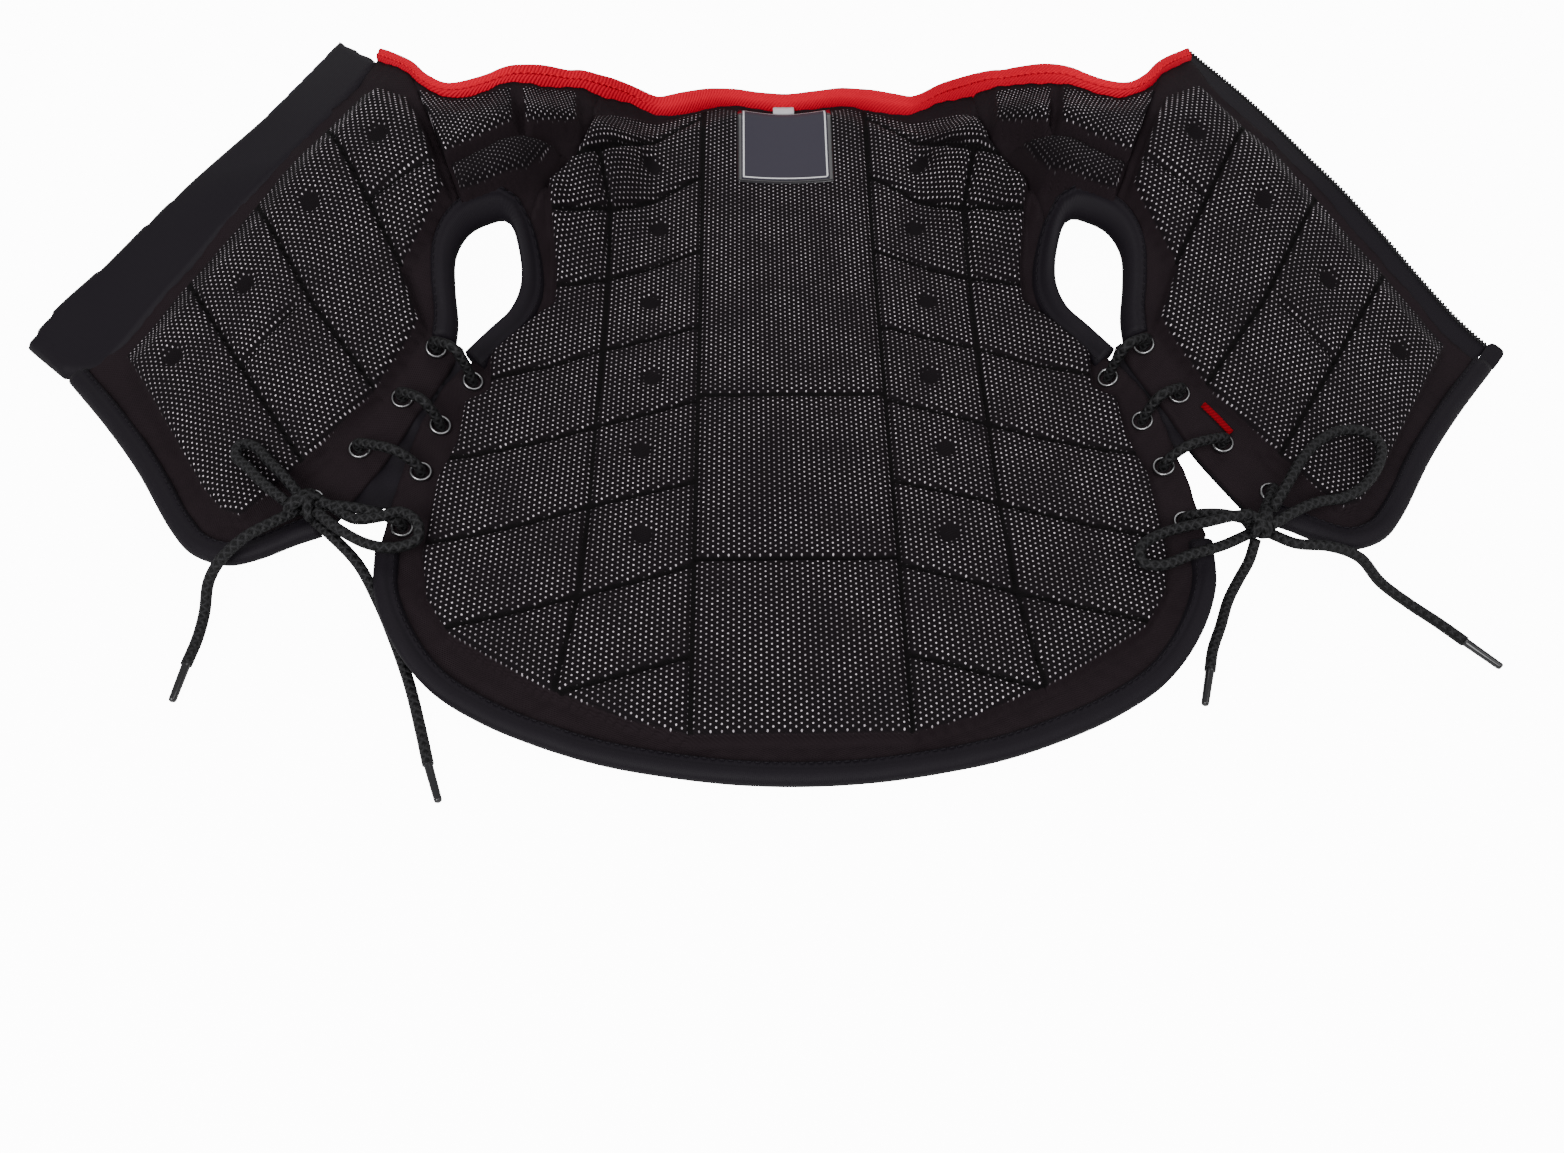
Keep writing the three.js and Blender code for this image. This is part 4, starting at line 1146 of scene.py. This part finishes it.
@dataclass
class Lacing:
    """Laces of one side: bars between eyelets, and a bow with loops and tails."""

    side: Side
    top: float = LINING_TOP + 2.2 + LACE / 2
    arch: float = 3.0

    def eyelets(self) -> tuple[np.ndarray, np.ndarray]:
        """Places of the front and back eyelets."""
        return in_plan(FRONT_EYELETS, self.side), in_plan(BACK_EYELETS, self.side)

    def rise(self, place: np.ndarray) -> np.ndarray:
        """Stations of a lace that comes up through an eyelet."""
        return np.vstack([lift(place[None], level) for level in (SHELL_WALL, LINING_TOP, self.top)])

    def bar(self, front: np.ndarray, back: np.ndarray) -> np.ndarray:
        """Path of a lace over the slit between two eyelets."""
        up, down = self.rise(front), self.rise(back)[::-1]
        over = np.array([up[2] + share * (down[0] - up[2]) for share in (0.3, 0.7)])
        over[:, 2] = max(up[2, 2], down[0, 2]) + self.arch
        return spline(np.vstack([up, over, down]), 8)

    def knot(self) -> Parts:
        """The knot with the strands that come to it from the lowest eyelets."""
        centre = lift(in_plan((TIES[self.side.label]["knot"],)), 16.0)[0]
        fronts, backs = self.eyelets()
        parts = Parts()
        for place in (fronts[-1], backs[-1]):
            rise = self.rise(place)
            over = rise[2] + 0.4 * (centre - rise[2])
            over[2] = max(centre[2], rise[2, 2] + self.arch)
            parts.add(*tube(spline(np.vstack([rise, over, centre]), 8), LACE))
        way = backs[-1] - fronts[-1]
        way = np.append(way / np.linalg.norm(way), 0)
        cross = np.array([-way[1], way[0], 0])
        turn = np.linspace(0, 2 * math.pi, 33)
        for offset, lean, size in ((-3.4, 0.5, 6.6), (2.6, -0.35, 6.4), (0.0, 1.2, 4.6)):
            ring = np.cos(turn)[:, None] * (cross + lean * way) * size
            ring = ring + np.sin(turn)[:, None] * np.array([0, 0, 4.2]) + centre + offset * way
            parts.add(*tube(ring, LACE - 0.4))
        return parts

    def build(self) -> list[bpy.types.Object]:
        """Makes every lace of this side.

        Returns:
            The objects, in order.
        """
        label = self.side.label
        made = []
        for i, (front, back) in enumerate(list(zip(*self.eyelets()))[:-1], 1):
            parts = Parts()
            parts.add(*tube(self.bar(front, back), LACE, 14))
            made.append(parts.to_object(f"bar_{label}_{i}", LACE_BRAID, f"lace_bar_{label}_{i}"))
        made.append(self.knot().to_object(f"knot_{label}", LACE_BRAID, f"lace_knot_{label}"))
        for i, points in enumerate(TIES[label]["loops"], 1):
            made.append(self.free(points, f"loop_{label}_{i}", "object", ()))
        for i, points in enumerate(TIES[label]["tails"], 1):
            aglet = self.aglet(points, f"aglet_{label}_{i}")
            made += [self.free(points[:-1], f"tail_{label}_{i}", "fitting", (aglet,)), aglet]
        return made

    @staticmethod
    def free(points: tuple, name: str, far_end: str, pieces: tuple) -> bpy.types.Object:
        """Args:
            points: Its route in millimetres.
            name: The object's name; the node that it stands for has "lace_" before it.
            far_end: What is on its far end; not used.
            pieces: The separate pieces on it; not used.

        Returns:
            The lace.
        """
        path = spline(np.array(points, float), 6)
        parts = Parts()
        parts.add(*tube(path, LACE, 14))
        thing = parts.to_object(name, LACE_BRAID, f"lace_{name}")
        return thing

    @staticmethod
    def aglet(points: tuple, name: str) -> bpy.types.Object:
        """Moulded tip on the end of a tail."""
        start, end = np.array(points[-2:], float)
        way = (end - start) / np.linalg.norm(end - start)
        share = np.array([-0.1, 0.0, 0.02, 0.06, 0.94, 0.98, 1.0])
        width = np.array([4.6, 4.8, 4.4, 4.3, 3.8, 3.3, 2.2])
        parts = Parts()
        parts.add(*tube(start + share[:, None] * 20.3 * way, width, 16))
        return parts.to_object(name, AGLET_PLASTIC, f"lace_{name}")


@dataclass
class ZipHalf:
    """Woven tape with moulded teeth along the right front edge."""

    tape: float = 16.0
    gap: float = 0.3
    pitch: float = 2.1
    tuck: float = 9.0

    def build(self) -> list[bpy.types.Object]:
        """Makes the tape, its teeth and its end tag."""
        line = resampled(self.edge(), 3.0)
        reach = self.tuck + self.tape + self.gap
        rows = [lift(shifted(line, self.tuck - reach * s), 1.9 - 0.2 * s) for s in np.linspace(0, 1, 5)]
        under = [row - [0, 0, 1.2] for row in rows[::-1]]
        rings = np.stack([*rows, *under], 1)
        run = np.arange(len(line)) * 3.0
        grain = np.stack(np.broadcast_arrays(np.arange(10.0)[None] * 2, run[:, None]), -1)
        parts = Parts()
        parts.add(rings.reshape(-1, 3), tube_faces(len(line), 10), grain.reshape(-1, 2))
        return [parts.to_object("zip_tape_cloth", BORDER, "zip_tape"), self.teeth(), self.tag()]

    @staticmethod
    def edge() -> np.ndarray:
        """The front edge, carried on up to the neck tape."""
        line = EDGES["front"]
        line = resampled(np.vstack([line[0] + 0.9 * (line[0] - line[3]), line]), 4.0)
        share = np.linspace(0, 1, len(line))[:, None]
        return line - (2.5 + 4.0 * np.exp(-(((share - 0.22) / 0.17) ** 2))) * mitres(line)

    def teeth(self) -> bpy.types.Object:
        """Moulded teeth in a row beyond the tape."""
        places = resampled(shifted(self.edge(), -(self.tape + self.gap - 0.7)), self.pitch)
        parts = Parts()
        half = np.array([(-1.8, -0.55), (-0.4, -0.55), (0.3, -0.75), (1.0, -0.5)])
        outline = np.vstack([half, (half * [1, -1])[::-1]])
        levels = ((0.5, 0.85), (0.8, 1.0), (2.2, 1.0), (2.6, 0.8))
        faces = tube_faces(len(levels), len(outline))
        for place, normal in zip(places, mitres(places)):
            way = np.array([-normal[1], normal[0]])
            shape = outline[:, 1:] * way - outline[:, :1] * normal
            rings = [lift(place + size * shape, level) for level, size in levels]
            parts.add(np.vstack(rings), faces, np.vstack([place + shape] * len(levels)))
        return parts.to_object("zip_teeth", ZIP_PLASTIC, "zip_coil")

    def tag(self) -> bpy.types.Object:
        """Small folded tag at the tape's lower end."""
        end = EDGES["front"][-1]
        way = end - EDGES["front"][-2]
        way /= np.linalg.norm(way)
        out = np.array([-way[1], way[0]])
        corners = np.array([(0.3, 2.4), (9.5, 2.8), (10.2, 9.0), (8.6, 16.4), (3.6, 17.2), (0.2, 15.8)])
        plan = end + corners[:, :1] * way + (corners[:, 1:] + 4.5) * out
        tag = Panel([spline(closed(plan), 5)[:-1]], 1.2).slab(0.3, 2.9)
        return tag.to_object("zip_tag", BORDER, "zip_end")


@dataclass
class Placket:
    """Wide soft facing along the left front edge."""

    top: tuple = ((-243.0, 187.0), (-248.0, 176.0))
    lip: float = 1.2

    def build(self) -> bpy.types.Object:
        """Makes the facing with rolled edges."""
        outer = in_plan(PLACKET_OUTER, Side.LEFT)
        inner = np.vstack([self.top, shifted(mirrored(EDGES["front"]), 5.0)[::-1][3:]])
        outline = np.vstack([inner, outer[-1:], spline(outer[:-1], 8)[::-1]])
        edge = EDGES["front"][-1] - EDGES["front"][0]
        panel = Panel([outline], 2.6, math.atan2(edge[1], -edge[0]) + math.pi / 2)
        plan, faces, grain, rim = panel.grid()
        depth, _ = nearest([closed(outline)], plan)
        near = 1 - np.minimum(depth / 5, 1)
        offset = self.lip + (PLACKET_WALL - self.lip) * np.sqrt(1 - near**2)
        x, y = plan.T
        offset += 0.5 * np.sin(x / 19 + y / 31) * np.sin(y / 23) * (1 - near)
        parts = closed_sheet(plan, faces, grain, rim, offset, 0.3)
        thing = parts.to_object("placket_facing", BORDER, "placket")
        return thing


@dataclass
class NapeLabel:
    """Framed patch with a clear margin, and a small tab above it."""

    half_width: float = 28.0
    length: float = 68.0
    top: float = 231.0
    cushion: float = PADDING - LINING_TOP + 1.1

    def sheet(self, name: str, grow: float, level: float, finish: Finish, node: str = "") -> bpy.types.Object:
        """A thin sheet over the label's place, larger by a margin."""
        half, top, bottom = self.half_width + grow, self.top + grow, self.top - self.length - grow
        outline = np.array([(-half, bottom), (half, bottom), (half, top), (-half, top)])
        plan, faces, grain, rim = Panel([outline], 2.0).grid()
        edge = np.repeat(nearest([closed(outline)], plan)[0][:, None], 3, 1)
        seat = self.seat(plan) + level
        return skirted_sheet(plan, faces, grain, rim, seat, seat - 0.6, edge).to_object(name, finish, node)

    def seat(self, plan: np.ndarray) -> np.ndarray:
        """Thickness of the padding under the label."""
        taper = nearest([EDGES["neck"]], plan)[0] - NECK_MARGIN
        return LINING_TOP + self.cushion * slimness(taper)

    def build(self) -> list[bpy.types.Object]:
        """Makes the film, the patch and the tab."""
        film = self.sheet("label_film", 2.6, 0.5, FILM)
        patch = self.sheet("label_patch", 0.0, 0.9, PATCH, "label")
        low, high = self.top + 2.8, self.top + 9.0
        outline = np.array([(-7, low), (7, low), (7, high), (-7, high)], float)
        tab = Panel([outline], 1.4).slab(5.5, 8.6).to_object("label_tab_cloth", WHITE_TAB, "label_tab")
        return [film, patch, tab]


class Vest:
    """The padded body of the vest: covers, linings and bindings."""

    def __init__(self) -> None:
        self.outline = vest_outline()
        far_x, far_y = BEYOND * HALF_SPAN, BEYOND * HALF_LENGTH
        back_seam, front_seam, slit = in_plan(BACK_SEAM), in_plan(FRONT_SEAM), in_plan(SLIT)
        back_limit = np.vstack([[back_seam[0, 0], far_y], back_seam, slit])
        front_limit = np.vstack([[front_seam[0, 0], far_y], front_seam, slit])
        self.back_zone = np.vstack([back_limit, mirrored(back_limit)])
        self.front_zone = np.vstack([front_limit, [far_x, -far_y], [far_x, far_y]])
        shoulder_top = [[back_seam[0, 0], far_y], *back_seam]
        self.shoulder_zone = np.vstack([shoulder_top, front_seam[::-1], [front_seam[0, 0], far_y]])
        self.rims = [
            (EDGES["neck"], NECK_MARGIN), (EDGES["front"], ZIP_MARGIN),
            (mirrored(EDGES["front"]), PLACKET_MARGIN),
        ]
        self.grain = math.atan2(0.65 * HALF_LENGTH, -0.332 * HALF_SPAN) - math.pi / 2

    def covers(self) -> list[bpy.types.Object]:
        """Outer cover under each panel."""
        zones = [("back_shell", self.back_zone)]
        for side in Side:
            zones.append((f"front_shell_{side.label}", counter(self.front_zone, side)))
            zones.append((f"shoulder_shell_{side.label}", counter(self.shoulder_zone, side)))
        made = []
        for node, zone in zones:
            sheet = Panel([self.outline, zone], 3.0).slab(0.0, SHELL_WALL)
            made.append(sheet.to_object(node.replace("shell", "cover"), COVER, node))
        return made

    def back(self) -> bpy.types.Object:
        """Lining of the back with its centre column and side tiles."""
        half = COLUMN_HALF * HALF_SPAN
        far = BEYOND * HALF_LENGTH
        seams = [np.array([(s * half, far), (s * half, -far)]) for s in (1, -1)]
        seams += [np.array([(-half, y * HALF_LENGTH), (half, y * HALF_LENGTH)]) for y in COLUMN_SEAMS]
        divider = tuple(seam[1] for seam in BACK_SEAMS) + ((0.28, -1.0),)
        for side in Side:
            seams += [in_plan(seam, side) for seam in (*BACK_SEAMS, divider)]
        right = in_plan(BACK_FIELD)
        spots = np.vstack([in_plan(BACK_SPOTS, side) for side in Side])
        return PaddedPanel(
            [self.outline, self.back_zone], 2.0, 0.0, "back_lining", "back_padding",
            fields=[np.vstack([right, mirrored(right)])], seams=seams, spots=spots, rims=self.rims[:1],
            knit_scale=1.04,
        ).build()

    def front(self, side: Side) -> bpy.types.Object:
        """Lining of one front."""
        return PaddedPanel(
            [self.outline, counter(self.front_zone, side)], 1.9, self.grain * side.value,
            f"front_lining_{side.label}", f"front_padding_{side.label}",
            fields=[in_plan(FRONT_FIELD, side)],
            seams=[in_plan(line, side) for line in FRONT_LINES],
            sub_seams=[in_plan(line, side) for line in FRONT_SUB_SEAMS],
            spots=in_plan(FRONT_SPOTS, side), rims=self.rims, knit_scale=1.08,
        ).build()

    def shoulder(self, side: Side) -> bpy.types.Object:
        """Lining of one shoulder."""
        tiles = [in_plan(tile, side) for tile in SHOULDER_TILES]
        return PaddedPanel(
            [self.outline, counter(self.shoulder_zone, side)], 1.9, 0.5 * side.value,
            f"shoulder_lining_{side.label}", f"shoulder_padding_{side.label}",
            fields=tiles, rims=[(EDGES["neck"], SHOULDER_MARGIN)], shaded=tiles[-1:], knit_scale=1.3,
        ).build()

    def gusset(self, side: Side, until: float) -> bpy.types.Object:
        """Soft cloth that fills the upper part of the laced slit.

        Args:
            side: Which side it is on.
            until: Its lowest station, as a share of HALF_LENGTH.
        """
        front = in_plan(FRONT_LACING)[::-1] + [5.0, 0.0]
        back = in_plan(BACK_LACING) - [5.0, 0.0]
        low = until * HALF_LENGTH
        front, back = (resampled(line, 4.0) for line in (front, back))
        front, back = front[front[:, 1] > low][::-1], back[back[:, 1] > low + 6][::-1]
        outline = counter(np.vstack([front, in_plan((GUSSET_TIP,)), back[::-1]]), side)
        plan, faces, grain, rim = Panel([outline], 2.4).grid()
        x, y = plan.T
        offset = 1.9 + 0.5 * np.sin(x / 3 + y / 7) + 0.3 * np.sin(y / 3.1)
        parts = closed_sheet(plan, faces, grain, rim, offset, offset - 0.9)
        return parts.to_object(f"side_gusset_{side.label}", BORDER)

    def bindings(self) -> list[bpy.types.Object]:
        """Tapes along the neck, the hems and the armholes."""
        plan = [
            ("neck_binding", "neck_tape", EDGES["neck"], 10.5, 13.5, RED_TAPE),
            ("hem_binding_back", "hem_tape_back", EDGES["back_hem"], 12.0, 9.0, BORDER),
        ]
        for side in Side:
            label = side.label
            hem, arm = counter(EDGES["front_hem"], side), counter(EDGES["armhole"], side)
            plan.append((f"hem_binding_front_{label}", f"hem_tape_front_{label}", hem, 12.0, 9.0, BORDER))
            plan.append((f"armhole_binding_{label}", f"armhole_tape_{label}", arm, 12.0, 8.5, BORDER))
        made = []
        for node, name, line, width, tall, finish in plan:
            pull, pinch = PULLS.get(name, 0.0), PINCHES.get(name, 0.0)
            made.append(Binding(name, line, width, tall, finish, inset=pull, pinch=pinch).build(node))
        trim = Binding(
            "side_trim", in_plan(SIDE_PIPING), 3.0, 2.4, DARK_RED, low=ON_LINING, sides=10, stitched=False
        )
        return [*made, trim.build("side_piping_right")]

    def build(self) -> list[bpy.types.Object]:
        """Makes the whole body of the vest."""
        made = [*self.covers(), self.back()]
        for side in Side:
            made += [self.front(side), self.shoulder(side)]
        made += [self.gusset(Side.RIGHT, -0.255), self.gusset(Side.LEFT, -0.39)]
        return [*made, *self.bindings()]


def eyelets() -> list[bpy.types.Object]:
    """All the rings of both sides."""
    made = []
    for side in Side:
        for panel, table in (("front", FRONT_EYELETS), ("back", BACK_EYELETS)):
            for i, place in enumerate(in_plan(table, side)):
                name = f"{panel}_{side.label}_{i + 1}"
                made.append(Eyelet(f"ring_{name}", place).build(f"eyelet_{name}"))
    return made


@dataclass
class Studio:
    """Camera, floor and soft lights."""

    place: tuple = (-20.78, -483.0, 546.0)
    yaw: float = 2.138
    pitch: float = 56.886
    roll: float = 1.296
    focal_share: float = 1250 / 1564
    sensor: float = 36.0
    white: float = 12.0
    ambient: float = 0.42

    def camera(self) -> None:
        """Sets the camera at the photograph's angle."""
        yaw, pitch, roll = (math.radians(v) for v in (self.yaw, self.pitch, self.roll))
        ahead = np.array([math.sin(yaw) * math.cos(pitch), math.cos(yaw) * math.cos(pitch), -math.sin(pitch)])
        level = np.array([math.cos(yaw), -math.sin(yaw), 0])
        upright = np.cross(level, ahead)
        right = math.cos(roll) * level + math.sin(roll) * upright
        up = -math.sin(roll) * level + math.cos(roll) * upright
        data = bpy.data.cameras.new("camera")
        data.sensor_width = self.sensor
        data.lens = self.sensor * self.focal_share
        camera = bpy.data.objects.new("camera", data)
        rows = np.column_stack([right, up, -ahead, (np.array(self.place) + SHIFT) * MM])
        camera.matrix_world = Matrix([*rows.tolist(), [0, 0, 0, 1]])
        bpy.context.scene.collection.objects.link(camera)
        bpy.context.scene.camera = camera

    def light(self, name: str, place: tuple, size: float, power: float) -> None:
        """Adds a square soft light that faces the vest."""
        data = bpy.data.lights.new(name, "AREA")
        data.size = size
        data.energy = power
        lamp = bpy.data.objects.new(name, data)
        z = np.array(place) / np.linalg.norm(place)
        x = np.cross([0, 1, 0], z)
        x /= np.linalg.norm(x)
        rows = np.column_stack([x, np.cross(z, x), z, place])
        lamp.matrix_world = Matrix([*rows.tolist(), [0, 0, 0, 1]])
        bpy.context.scene.collection.objects.link(lamp)

    def paper(self) -> bpy.types.Material:
        """Lit white backdrop paper, plain to the camera and no brighter than paper to the vest."""
        made = Finish("floor paper", rgb(0.93, 0.93, 0.93), roughness=0.9).material()
        wires = Wires(made.node_tree)
        shader = made.node_tree.nodes["Principled BSDF"]
        shader.inputs["Emission Color"].default_value = rgb(1, 1, 1)
        seen = wires.node("ShaderNodeLightPath").outputs["Is Camera Ray"]
        wires.link(wires.maths("MULTIPLY", seen, self.white), shader.inputs["Emission Strength"])
        return made

    def build(self) -> None:
        """Sets up the whole studio."""
        self.camera()
        self.light("key", (-0.7, -1.3, 1.5), 1.2, 34)
        self.light("fill", (1.1, -0.7, 1.5), 1.4, 12)
        self.light("back", (0.0, 1.5, 1.3), 1.4, 9)
        world = bpy.data.worlds.new("studio")
        world.use_nodes = True
        background = world.node_tree.nodes["Background"]
        background.inputs["Color"].default_value = rgb(1, 1, 1)
        wires = Wires(world.node_tree)
        seen = wires.node("ShaderNodeLightPath").outputs["Is Camera Ray"]
        glow = wires.maths("MULTIPLY_ADD", seen, self.white, self.ambient)
        wires.link(glow, background.inputs["Strength"])
        bpy.context.scene.world = world
        mesh = bpy.data.meshes.new("floor")
        reach, drop = 30.0, 0.0002
        square = [(-reach, -reach, 0), (reach, -reach, 0), (reach, reach, 0), (-reach, reach, 0)]
        mesh.from_pydata(square, [], [(0, 1, 2, 3)])
        mesh.materials.append(self.paper())
        floor = bpy.data.objects.new("floor", mesh)
        floor.location.z = -drop
        bpy.context.scene.collection.objects.link(floor)
        floor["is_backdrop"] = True


def corners() -> list[list[float]]:
    """The whole object's box as plain lists."""
    return [list(map(float, corner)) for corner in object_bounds()]


def main() -> None:
    """Builds every piece around the frame."""
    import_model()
    Studio().build()
    made: list[bpy.types.Object] = []
    for side in Side:
        made += Lacing(side).build()
    made += Vest().build()
    made += eyelets()
    made += ZipHalf().build()
    made.append(Placket().build())
    made += NapeLabel().build()
    for thing in made:
        LOG.info("%s: %d faces", thing.name, len(thing.data.polygons))


if __name__ == "__main__":
    logging.basicConfig(level=logging.INFO, format="%(message)s")
    main()
